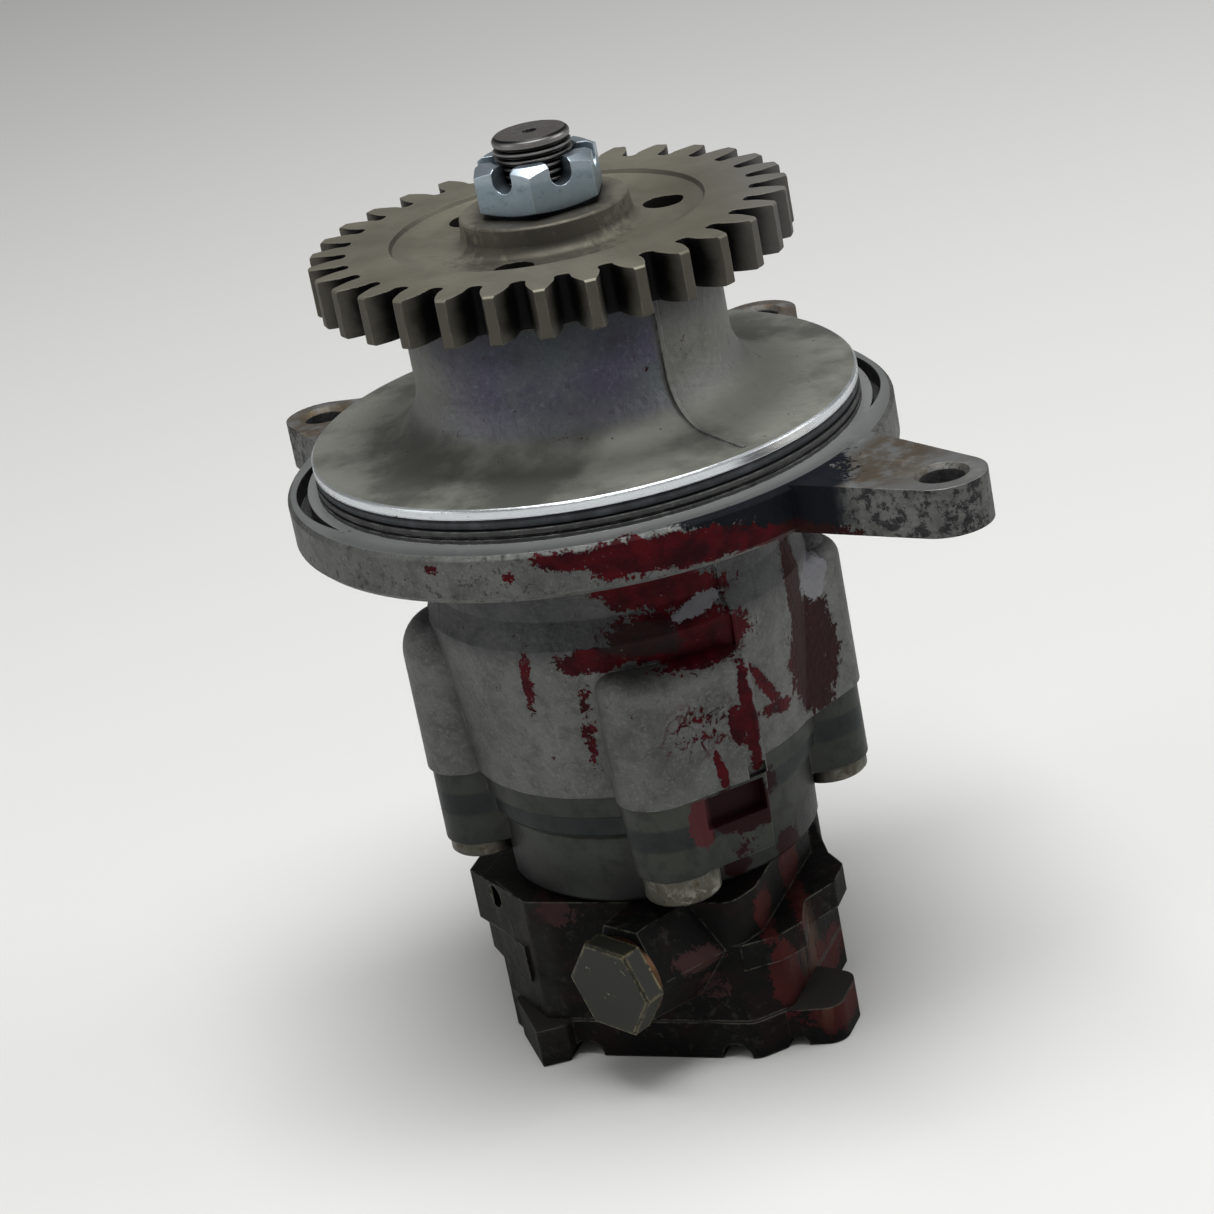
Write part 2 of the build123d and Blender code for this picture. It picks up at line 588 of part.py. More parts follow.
timing_outline = gear_outline(
    GEAR_TEETH, GEAR_MODULE, 20.0, 0.05, GEAR_DEDENDUM, GEAR_PHASE, GEAR_ROOT_FILLET)
with BuildPart() as drive_gear:
    with BuildSketch(level(GEAR_FOOT)):
        add(timing_outline)
    extrude(amount=GEAR_TOP - GEAR_FOOT)
    # chamfered rims of the teeth
    with BuildSketch(Plane.XZ):
        for z, side in ((GEAR_TOP, -1), (GEAR_FOOT, 1)):
            with BuildLine():
                Polyline((49.1, z), (49.6, z), (49.6, z + 0.5 * side), (49.1, z))
            make_face()
    revolve(axis=Axis.Z, mode=Mode.SUBTRACT)
    # dished web on the upper side, with the hub's boss standing in it
    with BuildSketch(Plane.XZ) as dish:
        with BuildLine():
            Polyline(
                (GEAR_BOSS_R - 3, GEAR_TOP - GEAR_WEB_DEPTH),
                (GEAR_WEB_R - 4.5, GEAR_TOP - GEAR_WEB_DEPTH),
                (GEAR_WEB_R - 0.5, GEAR_TOP - 0.9),
                (GEAR_WEB_R, GEAR_TOP),
                (GEAR_WEB_R, GEAR_TOP + 1),
                (GEAR_BOSS_R - 3, GEAR_TOP + 1),
                (GEAR_BOSS_R - 3, GEAR_TOP - GEAR_WEB_DEPTH),
            )
        make_face()
        fillet(corner(dish, GEAR_WEB_R - 4.5, GEAR_TOP - GEAR_WEB_DEPTH), 6.0)
    revolve(axis=Axis.Z, mode=Mode.SUBTRACT)
    with BuildSketch(Plane.XZ) as hub_section:
        with BuildLine():
            Polyline(
                (0, GEAR_FOOT),
                (GEAR_BOSS_R + 3.5, GEAR_FOOT),
                (GEAR_BOSS_R + 3.5, GEAR_TOP - GEAR_WEB_DEPTH),
                (GEAR_BOSS_R + 0.5, GEAR_TOP - GEAR_WEB_DEPTH),
                (GEAR_BOSS_R - 0.1, GEAR_BOSS_TOP - 0.4),
                (GEAR_BOSS_R - 0.5, GEAR_BOSS_TOP),
                (0, GEAR_BOSS_TOP),
                (0, GEAR_FOOT),
            )
        make_face()
        fillet(corner(hub_section, GEAR_BOSS_R + 0.5, GEAR_TOP - GEAR_WEB_DEPTH), 2.4)
    revolve(axis=Axis.Z)
    # recess on the lower side
    with BuildSketch(level(GEAR_FOOT)):
        Circle(GEAR_WEB_R)
        Circle(GEAR_BOSS_R + 2, mode=Mode.SUBTRACT)
    extrude(amount=1.0, mode=Mode.SUBTRACT)
    with BuildSketch(level(GEAR_FOOT)):
        with PolarLocations(GEAR_HOLE_CIRCLE, 3, start_angle=GEAR_HOLE_AT):
            Circle(GEAR_HOLE_R)
    extrude(amount=GEAR_TOP - GEAR_FOOT, mode=Mode.SUBTRACT)
    # tapered bore with its keyway
    with BuildSketch(Plane.XZ):
        with BuildLine():
            Polyline(
                (0, GEAR_FOOT),
                (TAPER_FOOT_R, GEAR_FOOT),
                (TAPER_TOP_R, TAPER_TOP),
                (TAPER_TOP_R, GEAR_BOSS_TOP),
                (0, GEAR_BOSS_TOP),
                (0, GEAR_FOOT),
            )
        make_face()
    revolve(axis=Axis.Z, mode=Mode.SUBTRACT)
    with BuildSketch(level(GEAR_FOOT)):
        with Locations((0, KEY_OUT / 2 + 1)):
            Rectangle(KEY_WIDTH, KEY_OUT - 2)
    extrude(amount=GEAR_BOSS_TOP - GEAR_FOOT, mode=Mode.SUBTRACT)
finish(drive_gear, "drive_gear")

with BuildPart() as castle_nut:
    with BuildSketch(level(NUT_SEAT)):
        RegularPolygon(NUT_FLATS / 2, 6, major_radius=False, rotation=NUT_AT)
    extrude(amount=NUT_TOP - NUT_SEAT)
    # corners bevelled above and below, and the round seat
    corner_r = NUT_FLATS / sqrt(3)
    with BuildSketch(Plane.XZ):
        with BuildLine():
            Polyline(
                (0, NUT_SEAT),
                (NUT_FLATS / 2 - 1.0, NUT_SEAT),
                (NUT_FLATS / 2 - 0.8, NUT_FOOT),
                (corner_r, NUT_FOOT + 0.9),
                (corner_r, NUT_TOP - 1.7),
                (NUT_FLATS / 2 - 0.9, NUT_TOP),
                (0, NUT_TOP),
                (0, NUT_SEAT),
            )
        make_face()
    revolve(axis=Axis.Z, mode=Mode.INTERSECT)
    with BuildSketch(level(NUT_SEAT)):
        Circle(THREAD_R + 0.05)
    extrude(amount=NUT_TOP - NUT_SEAT, mode=Mode.SUBTRACT)
    # lead-in of the thread
    with BuildSketch(Plane.XZ):
        with BuildLine():
            Polyline((THREAD_R, NUT_TOP), (THREAD_R + 0.9, NUT_TOP), (THREAD_R, NUT_TOP - 0.9),
                     (THREAD_R, NUT_TOP))
        make_face()
    revolve(axis=Axis.Z, mode=Mode.SUBTRACT)
    # six slots with round bottoms, in the middle of the flats
    for turn in range(3):
        slot_plane = facing(NUT_AT + 30 + 60 * turn, 0, NUT_TOP - NUT_SLOT_DEPTH + NUT_SLOT / 2)
        with BuildSketch(slot_plane):
            Circle(NUT_SLOT / 2)
            with Locations((0, NUT_SLOT_DEPTH / 2)):
                Rectangle(NUT_SLOT, NUT_SLOT_DEPTH)
        extrude(amount=NUT_FLATS, both=True, mode=Mode.SUBTRACT)
finish(castle_nut, "castle_nut")

# ---------------------------------------------------------------- internal gear stage
RING_AT = (0, -ECCENTRIC)
ROTOR_H = ROTOR_TOP - ROTOR_FOOT
STACK_PIN_SPOTS = [polar(STACK_PIN_CIRCLE, angle) for angle in STACK_PINS_AT]

with BuildPart() as front_port_plate:
    with BuildSketch(level(ROTOR_TOP)):
        Circle(CAVITY_R - 0.03)
        Circle(PLATE_JOURNAL_R + RUN, mode=Mode.SUBTRACT)
    extrude(amount=CAVITY_TOP - ROTOR_TOP)
    with BuildSketch(level(ROTOR_TOP)):
        for side in (0, 180):
            SlotArc(CenterArc((0, 0), KIDNEY_R, side - KIDNEY_SPAN / 2, KIDNEY_SPAN), KIDNEY_WIDTH)
    extrude(amount=9.5, mode=Mode.SUBTRACT)
    # each kidney opens to its port through the plate's rim
    for port_at, _, _ in PORTS:
        with BuildSketch(facing(port_at, CAVITY_R + 1, PORT_Z)):
            RectangleRounded(11, 7, 1.5)
        extrude(amount=-16, mode=Mode.SUBTRACT)
    with BuildSketch(level(ROTOR_TOP)):
        with Locations(*STACK_PIN_SPOTS):
            Circle(STACK_PIN_R)
    extrude(amount=8, mode=Mode.SUBTRACT)
finish(front_port_plate, "front_port_plate")

with BuildPart() as eccentric_ring:
    with BuildSketch(level(ROTOR_FOOT)):
        Circle(CAVITY_R - 0.03)
        with Locations(RING_AT):
            Circle(OUTER_ROTOR_R + RUN, mode=Mode.SUBTRACT)
        with Locations(*STACK_PIN_SPOTS):
            Circle(STACK_PIN_R, mode=Mode.SUBTRACT)
    extrude(amount=ROTOR_H)
finish(eccentric_ring, "eccentric_ring")

with BuildPart() as outer_rotor:
    with BuildSketch(level(ROTOR_FOOT + GAP)):
        with Locations(RING_AT):
            Circle(OUTER_ROTOR_R)
            Circle(LOBE_PITCH_R - ROTOR_LOBE_R + 2 * ECCENTRIC + 0.1, mode=Mode.SUBTRACT)
    extrude(amount=ROTOR_H - 2 * GAP)
    with BuildSketch(level(ROTOR_FOOT + GAP)):
        with Locations(RING_AT):
            with PolarLocations(LOBE_PITCH_R, OUTER_LOBES, start_angle=90):
                Circle(ROTOR_LOBE_R)
        with Locations(RING_AT):
            Circle(OUTER_ROTOR_R, mode=Mode.INTERSECT)
    extrude(amount=ROTOR_H - 2 * GAP)
finish(outer_rotor, "outer_rotor")

with BuildPart() as inner_rotor:
    with BuildSketch(level(ROTOR_FOOT + GAP)):
        with BuildLine():
            Spline(*rotor_curve(ROTOR_LOBE_R + 0.06), periodic=True)
        make_face()
        Circle(ROTOR_SEAT_R, mode=Mode.SUBTRACT)
        with Locations((0, ROTOR_KEY_AT)):
            Rectangle(ROTOR_KEY_WIDTH, ROTOR_KEY_HEIGHT, mode=Mode.SUBTRACT)
    extrude(amount=ROTOR_H - 2 * GAP)
finish(inner_rotor, "inner_rotor")

with BuildPart() as rotor_key:
    with BuildSketch(level(ROTOR_FOOT + 2)):
        with Locations((0, ROTOR_KEY_AT)):
            Rectangle(ROTOR_KEY_WIDTH, ROTOR_KEY_HEIGHT)
    extrude(amount=ROTOR_KEY_LENGTH)
finish(rotor_key, "rotor_key")

with BuildPart() as rear_port_plate:
    with BuildSketch(level(REAR_PLATE_FOOT)):
        Circle(CAVITY_R - 0.03)
        Circle(ROTOR_SEAT_R + RUN, mode=Mode.SUBTRACT)
        with Locations(*STACK_PIN_SPOTS):
            Circle(STACK_PIN_R, mode=Mode.SUBTRACT)
    extrude(amount=ROTOR_FOOT - REAR_PLATE_FOOT)
    with BuildSketch(level(ROTOR_FOOT)):
        for side in (0, 180):
            SlotArc(CenterArc((0, 0), KIDNEY_R, side - KIDNEY_SPAN / 2, KIDNEY_SPAN), KIDNEY_WIDTH)
    extrude(amount=-3.0, mode=Mode.SUBTRACT)
finish(rear_port_plate, "rear_port_plate")

with BuildPart() as stack_dowels:
    with BuildSketch(level(REAR_PLATE_FOOT)):
        with Locations(*STACK_PIN_SPOTS):
            Circle(STACK_PIN_R - 0.02)
    extrude(amount=31)
finish(stack_dowels, "stack_dowels")

# ---------------------------------------------------------------- rear cover
with BuildPart() as rear_cover:
    with BuildSketch(Plane.XZ) as section:
        with BuildLine():
            Polyline(
                (0, REAR_PLATE_FOOT),
                (CAVITY_R - 1.0, REAR_PLATE_FOOT),
                (CAVITY_R - 0.05, REAR_PLATE_FOOT - 1.0),
                (CAVITY_R - 0.05, -61.5),
                (26.4, -61.5),
                (26.4, -63.9),
                (CAVITY_R - 0.05, -63.9),
                (CAVITY_R - 0.05, BODY_FOOT),
                (36.7, BODY_FOOT),
                (36.7, COVER_STEP - 0.2),
                (36.3, COVER_STEP - 0.6),
                (35.9, COVER_STEP - 0.7),
                (35.7, COVER_WAIST + 0.6),
                (34.2, COVER_WAIST - 1.2),
                (33.8, COVER_FOOT + 1.2),
                (32.6, COVER_FOOT),
                (0, COVER_FOOT),
                (0, REAR_PLATE_FOOT),
            )
        make_face()
    revolve(axis=Axis.Z)
    # lobes, and the front one's pad with its rectangular recess
    with BuildSketch(level(BODY_FOOT)):
        with PolarLocations(LOBE_CIRCLE_R, LOBES):
            Circle(COVER_LOBE_R)
        with PolarLocations(LOBE_CIRCLE_R - 6, LOBES):
            Rectangle(12, 2 * COVER_LOBE_R)
    extrude(amount=COVER_LOBE_FOOT - BODY_FOOT)
    with BuildSketch(level(BODY_FOOT)):
        add(front_lobe_outline(0.4))
    extrude(amount=COVER_LOBE_FOOT - BODY_FOOT, taper=3)
    with BuildSketch(facing(PAD_NORMAL, PAD_AT, across=PAD_SHIFT)):
        with Locations((0, BODY_FOOT - 4.4)):
            Rectangle(PAD_WIDTH - 2.4, 7.2)
    extrude(amount=-3.4, mode=Mode.SUBTRACT)
    # bore for bush, seal and sleeve; bolt holes; tapped holes for the rear pump
    for radius, top, foot in ((11.0, REAR_PLATE_FOOT, -76.8), (14.0, -76.8, COVER_FOOT)):
        with BuildSketch(level(top)):
            Circle(radius)
        extrude(amount=foot - top, mode=Mode.SUBTRACT)
    for top, radius in ((BODY_FOOT, BOLT_R + 0.3), (COVER_LOBE_FOOT, BOLT_HEAD_R + 0.4)):
        with BuildSketch(level(top)):
            with PolarLocations(LOBE_CIRCLE_R, LOBES):
                Circle(radius)
        extrude(amount=COVER_FOOT - top, mode=Mode.SUBTRACT)
    with BuildSketch(pump_level(COVER_FOOT)):
        with Locations(*LONG_SCREWS):
            Circle(LONG_R)
    extrude(amount=12, mode=Mode.SUBTRACT)
finish(rear_cover, "rear_cover")

with BuildPart() as cover_o_ring:
    with BuildSketch(Plane.XZ):
        with Locations((27.66, -62.7)):
            Circle(1.18)
    revolve(axis=Axis.Z)
finish(cover_o_ring, "cover_o_ring")

front_bolt = cap_screw_solid(BOLT_R - FIT, BOLT_LENGTH, BOLT_HEAD_R, BOLT_HEAD_H, BOLT_SOCKET)
low_bolt = cap_screw_solid(BOLT_R - FIT, BOLT_LENGTH, BOLT_HEAD_R, LOW_HEAD_H, BOLT_SOCKET)
with BuildPart() as cover_bolts:
    with Locations((*polar(LOBE_CIRCLE_R, -90), COVER_LOBE_FOOT - BOLT_HEAD_H)):
        add(front_bolt)
    for spot in DOMED_LOBES:
        with Locations((*spot, COVER_LOBE_FOOT - LOW_HEAD_H)):
            add(low_bolt)
finish(cover_bolts, "cover_bolts")

with BuildPart() as cover_bush:
    with BuildSketch(level(-76.6)):
        Circle(11.0)
        Circle(ROTOR_SEAT_R + RUN, mode=Mode.SUBTRACT)
    extrude(amount=16.4)
finish(cover_bush, "cover_bush")

with BuildPart() as interstage_seal:
    with BuildSketch(Plane.XZ):
        with BuildLine():
            Polyline(
                (14.0, -77.0),
                (14.0, -83.6),
                (10.4, -83.6),
                (9.08, -81.8),
                (9.08, -81.0),
                (10.8, -82.0),
                (12.6, -82.0),
                (12.6, -77.0),
                (14.0, -77.0),
            )
        make_face()
    revolve(axis=Axis.Z)
finish(interstage_seal, "interstage_seal")

with BuildPart() as coupling_sleeve:
    with BuildSketch(level(SLEEVE_FOOT)):
        Circle(SLEEVE_R)
        RegularPolygon(HEXAGON / 2 + 0.05, 6, major_radius=False, mode=Mode.SUBTRACT)
    extrude(amount=SLEEVE_TOP - SLEEVE_FOOT)
finish(coupling_sleeve, "coupling_sleeve")

# ---------------------------------------------------------------- rear pump
IDLER_AT = (0, REAR_CENTRES)


def valve_plane(out):
    """Upright plane across the valve's axis, at a distance outward from the front face."""
    turn = radians(PUMP_TURN)
    base_x = VALVE_BASE[0] * cos(turn) - VALVE_BASE[1] * sin(turn)
    base_y = VALVE_BASE[0] * sin(turn) + VALVE_BASE[1] * cos(turn)
    way_x, way_y = polar(1, VALVE_AT)
    return Plane(
        origin=(base_x + out * way_x, base_y + out * way_y, VALVE_Z),
        x_dir=(*polar(1, VALVE_AT + 90), 0),
        z_dir=(way_x, way_y, 0),
    )


def side_plane(side, distance, along, z):
    """Upright plane facing left (-1) or right (1) of the rear pump."""
    turn = radians(PUMP_TURN)
    x = side * distance * cos(turn) - along * sin(turn)
    y = side * distance * sin(turn) + along * cos(turn)
    facing_way = PUMP_TURN + (0 if side > 0 else 180)
    return Plane(
        origin=(x, y, z),
        x_dir=(*polar(1, facing_way + 90), 0),
        z_dir=(*polar(1, facing_way), 0),
    )


def outlet_plane():
    """Upright plane on the bevel of the right back corner."""
    (front_x, front_y), (back_x, back_y) = RIGHT_BEVEL
    middle = ((front_x + back_x) / 2, (front_y + back_y) / 2, 0)
    facing_way = PUMP_TURN + degrees(atan2(front_x - back_x, back_y - front_y))
    return Plane(
        origin=pump_level(REAR_PORT_Z).from_local_coords(middle),
        x_dir=(*polar(1, facing_way + 90), 0),
        z_dir=(*polar(1, facing_way), 0),
    )


def pump_outline(inset=0.0):
    """Plan of the rear pump: flat front, bevelled corners, round back about the idler."""
    with BuildSketch() as plan:
        with BuildLine():
            Polyline(
                (-21, -33),
                (26, -33),
                (33 - inset, -26),
                (RIGHT_BEVEL[0][0] - inset, RIGHT_BEVEL[0][1]),
                RIGHT_BEVEL[1],
                (-20, 34),
                (-35, 14),
                (-35, -20),
                (-21, -33),
            )
        make_face()
        fillet([corner(plan, 26, -33), corner(plan, 33 - inset, -26)], 4.0)
        fillet([corner(plan, -21, -33), corner(plan, -35, -20)], 1.6)
        with Locations(IDLER_AT):
            Circle(21.5)
        with Locations(*SHORT_SCREWS[2:]):
            Circle(7.0)
    return plan.sketch


body_plan, upper_plan = pump_outline(), pump_outline(4.0)
with BuildPart() as rear_pump_body:
    with BuildSketch(pump_level(SEAM_TOP)):
        add(body_plan)
    extrude(amount=LEDGE_TOP - SEAM_TOP)
    with BuildSketch(pump_level(LEDGE_TOP)):
        add(upper_plan)
    extrude(amount=COVER_FOOT - LEDGE_TOP)
    # right-hand ledge with its ear
    with BuildSketch(pump_level(LEDGE_TOP)) as ledge:
        with BuildLine():
            Polyline(
                (26, -33),
                (33, -28.3),
                (36.6, -22.2),
                (34.2, -12.8),
                (38.4, -4.6),
                (38.0, 3.5),
                (33.4, 8.6),
                (24, 8.6),
                (26, -33),
            )
        make_face()
        fillet([corner(ledge, 36.6, -22.2), corner(ledge, 38.4, -4.6), corner(ledge, 38.0, 3.5)], 1.8)
    extrude(amount=LEDGE_FOOT - LEDGE_TOP)
    # pad of the left port, and the bulge of the left corner with its slanted foot
    with BuildSketch(side_plane(-1, REAR_PORT_FACE, REAR_CENTRES / 2 - 4, REAR_PORT_Z + 1)):
        RectangleRounded(24, 20, 6)
    extrude(amount=-10, taper=-24)
    for top, foot, inset, taper in CORNER_STAGES:
        with BuildSketch(pump_level(top)):
            with BuildLine():
                Polyline((-22.5 - inset, -31.6), (-39.5 + inset, -18.0 + inset), (-40.5 + inset, 8),
                         (-34, 14), (-22, -6), (-22.5 - inset, -31.6))
            make_face()
        extrude(amount=foot - top, taper=taper)
    # valve boss
    with BuildSketch(valve_plane(VALVE_FACE)):
        Polygon((4.6, 11), (-4.6, 11), (-9.3, 0), (-4.6, -9.4), (4.6, -9.4), (9.3, 0), align=None)
    with BuildSketch(valve_plane(-8)):
        Polygon((6, 13), (-6, 13), (-13, 0), (-6, -11), (6, -11), (13, 0), align=None)
    loft()
    split(bisect_by=level(COVER_FOOT), keep=Keep.BOTTOM)
    split(bisect_by=level(SEAM_TOP), keep=Keep.TOP)
    # sleeve passage, gear chamber and the recess of the joint ring
    with BuildSketch(pump_level(COVER_FOOT)):
        Circle(12.0)
    extrude(amount=CHAMBER_TOP - COVER_FOOT, mode=Mode.SUBTRACT)
    with BuildSketch(pump_level(SEAM_TOP)):
        Circle(CHAMBER_R)
        with Locations(IDLER_AT):
            Circle(CHAMBER_R)
    extrude(amount=CHAMBER_TOP - SEAM_TOP, mode=Mode.SUBTRACT)
    with BuildSketch(pump_level(COVER_FOOT)):
        Circle(20.2)
        Circle(17.2, mode=Mode.SUBTRACT)
    extrude(amount=-1.7, mode=Mode.SUBTRACT)
    # inlet on the left, outlet on the bevel of the right back corner
    for plane, radius, depth, reach in (
        (side_plane(-1, REAR_PORT_FACE, REAR_CENTRES / 2, REAR_PORT_Z),
         REAR_PORT_R, REAR_PORT_DEPTH, REAR_PORT_FACE - 6),
        (outlet_plane(), REAR_OUTLET_R, REAR_OUTLET_DEPTH, 22.0),
    ):
        with BuildSketch(plane.offset(PORT_MOUTH)):
            Circle(radius)
        extrude(amount=-(PORT_MOUTH + depth), mode=Mode.SUBTRACT)
        with BuildSketch(plane):
            Circle(REAR_PASSAGE_R)
        extrude(amount=-reach, mode=Mode.SUBTRACT)
    # valve bore with its seat and passage to the chamber
    for radius, depth in (
        (PLUG_THREAD_R, PLUG_THREAD + 1),
        (VALVE_BORE_R, VALVE_FACE + VALVE_BORE_DEPTH),
        (3.0, VALVE_FACE + VALVE_BORE_DEPTH + 7),
    ):
        with BuildSketch(valve_plane(VALVE_FACE)):
            Circle(radius)
        extrude(amount=-depth, mode=Mode.SUBTRACT)
    # screw holes and the small tapped hole of the left bevel
    with BuildSketch(pump_level(COVER_FOOT)):
        with Locations(*LONG_SCREWS):
            Circle(LONG_R + 0.3)
    extrude(amount=-LONG_LENGTH, mode=Mode.SUBTRACT)
    with BuildSketch(pump_level(SEAM_TOP)):
        with Locations(*SHORT_SCREWS):
            Circle(SHORT_R)
    extrude(amount=14, mode=Mode.SUBTRACT)
    with BuildSketch(Plane(
        origin=pump_level(LEFT_HOLE_Z).from_local_coords((*LEFT_HOLE_AT, 0)),
        x_dir=(*polar(1, LEFT_HOLE_FACING + 90), 0),
        z_dir=(*polar(1, LEFT_HOLE_FACING), 0),
    )):
        Circle(LEFT_HOLE_R)
    extrude(amount=-LEFT_HOLE_DEPTH, mode=Mode.SUBTRACT)
finish(rear_pump_body, "rear_pump_body")

with BuildPart() as joint_o_ring:
    with BuildSketch(Plane.XZ):
        with Locations((18.7, COVER_FOOT - 0.84)):
            Circle(0.82)
    revolve(axis=Axis.Z)
finish(joint_o_ring, "joint_o_ring")


def bearing_block(top):
    """Bearing plate of the gear pair: two discs in one, with a bore for each journal."""
    with BuildPart() as block:
        with BuildSketch(pump_level(top)):
            Circle(CHAMBER_R - 0.03)
            with Locations(IDLER_AT):
                Circle(CHAMBER_R - 0.03)
            Circle(JOURNAL_R + RUN, mode=Mode.SUBTRACT)
            with Locations(IDLER_AT):
                Circle(JOURNAL_R + RUN, mode=Mode.SUBTRACT)
        extrude(amount=-BLOCK_THICK)
        # relief grooves beside the mesh
        with BuildSketch(pump_level(top)):
            with Locations((0, REAR_CENTRES / 2)):
                Rectangle(9, 3)
        extrude(amount=-1.2, mode=Mode.SUBTRACT)
    return block


upper_bearing_block = bearing_block(CHAMBER_TOP)
finish(upper_bearing_block, "upper_bearing_block")
lower_bearing_block = bearing_block(SEAM_TOP + BLOCK_THICK)
finish(lower_bearing_block, "lower_bearing_block")

REAR_GEAR_TOP = CHAMBER_TOP - BLOCK_THICK - GAP
REAR_GEAR_FOOT = SEAM_TOP + BLOCK_THICK + GAP

pinion_outline = gear_outline(REAR_TEETH, REAR_MODULE, REAR_PRESSURE, 0.08, 1.2, 90.0)
with BuildPart() as rear_drive_gear:
    with BuildSketch(pump_level(REAR_GEAR_FOOT)):
        add(pinion_outline)
    extrude(amount=REAR_GEAR_TOP - REAR_GEAR_FOOT)
    with BuildSketch(pump_level(SEAM_TOP + 0.3)):
        Circle(JOURNAL_R)
    extrude(amount=CHAMBER_TOP - SEAM_TOP - 0.4)
    with BuildSketch(level(CHAMBER_TOP - 0.1)):
        RegularPolygon(HEXAGON / 2, 6, major_radius=False)
    extrude(amount=6.6)
finish(rear_drive_gear, "rear_drive_gear")

idler_phase = -90.0 + 180 / REAR_TEETH  # a gap faces the driving tooth
idler_outline = gear_outline(REAR_TEETH, REAR_MODULE, REAR_PRESSURE, 0.08, 1.2, idler_phase)
with BuildPart() as rear_idler_gear:
    with BuildSketch(pump_level(REAR_GEAR_FOOT)):
        with Locations(IDLER_AT):
            add(idler_outline)
    extrude(amount=REAR_GEAR_TOP - REAR_GEAR_FOOT)
    with BuildSketch(pump_level(SEAM_TOP + 0.3)):
        with Locations(IDLER_AT):
            Circle(JOURNAL_R)
    extrude(amount=CHAMBER_TOP - SEAM_TOP - 0.5)
finish(rear_idler_gear, "rear_idler_gear")


def cover_outline():
    """Plan of the end cover: the body's plan with the corner foot and the ear's lug."""
    with BuildSketch() as plan:
        add(body_plan)
        with BuildLine():
            Polyline((-15.5, -33), (-16.2, -35), (-21.8, -38.2), (-31.4, -25), (-31, -12),
                     (-16, -12), (-15.5, -33))
        make_face()
    with BuildSketch() as lug:
        with Locations((38.6, -22.2), (38.6, -15.2)):
            Circle(4.2)
        with Locations((29, -26), (29, -10)):
            Circle(2)
        make_hull()
    with BuildSketch() as whole:
        add(plan.sketch)
        add(lug.sketch)
        with Locations(*SHORT_SCREWS):
            Circle(SHORT_R + 0.2, mode=Mode.SUBTRACT)
        with Locations(*LONG_SCREWS):
            Circle(LONG_R + 0.3, mode=Mode.SUBTRACT)
    return whole.sketch


cover_plan = cover_outline()
with BuildPart() as end_cover_gasket:
    with BuildSketch(pump_level(SEAM_FOOT)):
        add(cover_plan)
        Circle(CHAMBER_R, mode=Mode.SUBTRACT)
        with Locations(IDLER_AT):
            Circle(CHAMBER_R, mode=Mode.SUBTRACT)
    extrude(amount=SEAM_TOP - SEAM_FOOT)
finish(end_cover_gasket, "end_cover_gasket")

with BuildPart() as end_cover:
    with BuildSketch(pump_level(PUMP_FOOT)):
        add(cover_plan)
    extrude(amount=SEAM_FOOT - PUMP_FOOT)
    # plug that fills the gasket's opening
    with BuildSketch(pump_level(SEAM_FOOT)):
        Circle(CHAMBER_R - 0.1)
        with Locations(IDLER_AT):
            Circle(CHAMBER_R - 0.1)
    extrude(amount=SEAM_TOP - SEAM_FOOT)
    # notches of the lower edge
    for x, y, radius in END_NOTCHES:
        with Locations(Plane(origin=pump_level(PUMP_FOOT).from_local_coords((x, y, 0)),
                             z_dir=(*polar(1, PUMP_TURN - 90), 0))):
            Cylinder(radius, 14, mode=Mode.SUBTRACT)
    # sunk seats of the screw heads
    for spots, radius, depth in (
        (LONG_SCREWS, LONG_HEAD_R + 0.3, LONG_HEAD_H + 0.5),
        (SHORT_SCREWS, SHORT_HEAD_R + 0.2, SHORT_HEAD_H + 0.5),
    ):
        with BuildSketch(pump_level(PUMP_FOOT)):
            with Locations(*spots):
                Circle(radius)
        extrude(amount=depth, mode=Mode.SUBTRACT)
finish(end_cover, "end_cover")

long_screw = cap_screw_solid(LONG_R - FIT, LONG_LENGTH, LONG_HEAD_R, LONG_HEAD_H, LONG_SOCKET)
with BuildPart() as rear_pump_screws:
    for spot in LONG_SCREWS:
        with Locations(pump_level(PUMP_FOOT + 0.5).from_local_coords((*spot, 0))):
            add(long_screw)
finish(rear_pump_screws, "rear_pump_screws")

short_screw = cap_screw_solid(
    SHORT_R - FIT, SHORT_LENGTH, SHORT_HEAD_R, SHORT_HEAD_H, SHORT_SOCKET)
with BuildPart() as end_cover_screws:
    for spot in SHORT_SCREWS:
        with Locations(pump_level(PUMP_FOOT + 0.5).from_local_coords((*spot, 0))):
            add(short_screw)
finish(end_cover_screws, "end_cover_screws")

# ---------------------------------------------------------------- relief valve
WASHER = 1.5

with BuildPart() as relief_washer:
    with BuildSketch(valve_plane(VALVE_FACE)):
        Circle(9.2)
        Circle(PLUG_THREAD_R + 0.1, mode=Mode.SUBTRACT)
    extrude(amount=WASHER)
finish(relief_washer, "relief_washer")

with BuildPart() as relief_plug:
    with BuildSketch(valve_plane(VALVE_FACE + WASHER)):
        RegularPolygon(PLUG_FLATS / 2, 6, major_radius=False, rotation=-4.0)
    extrude(amount=PLUG_HEAD)
    valve_way = Axis((0, 0, 0), (*polar(1, VALVE_AT), 0))
    chamfer(relief_plug.faces().sort_by(valve_way)[-1].edges(), 0.5)
    with BuildSketch(valve_plane(VALVE_FACE + WASHER)):
        Circle(PLUG_THREAD_R - 0.05)
    extrude(amount=-(PLUG_THREAD + WASHER))
    with BuildSketch(valve_plane(VALVE_FACE - PLUG_THREAD)):
        Circle(4.4)
    extrude(amount=7, mode=Mode.SUBTRACT)
finish(relief_plug, "relief_plug")

SEAT_OUT = -VALVE_BORE_DEPTH
POPPET_OUT = SEAT_OUT + 10.0

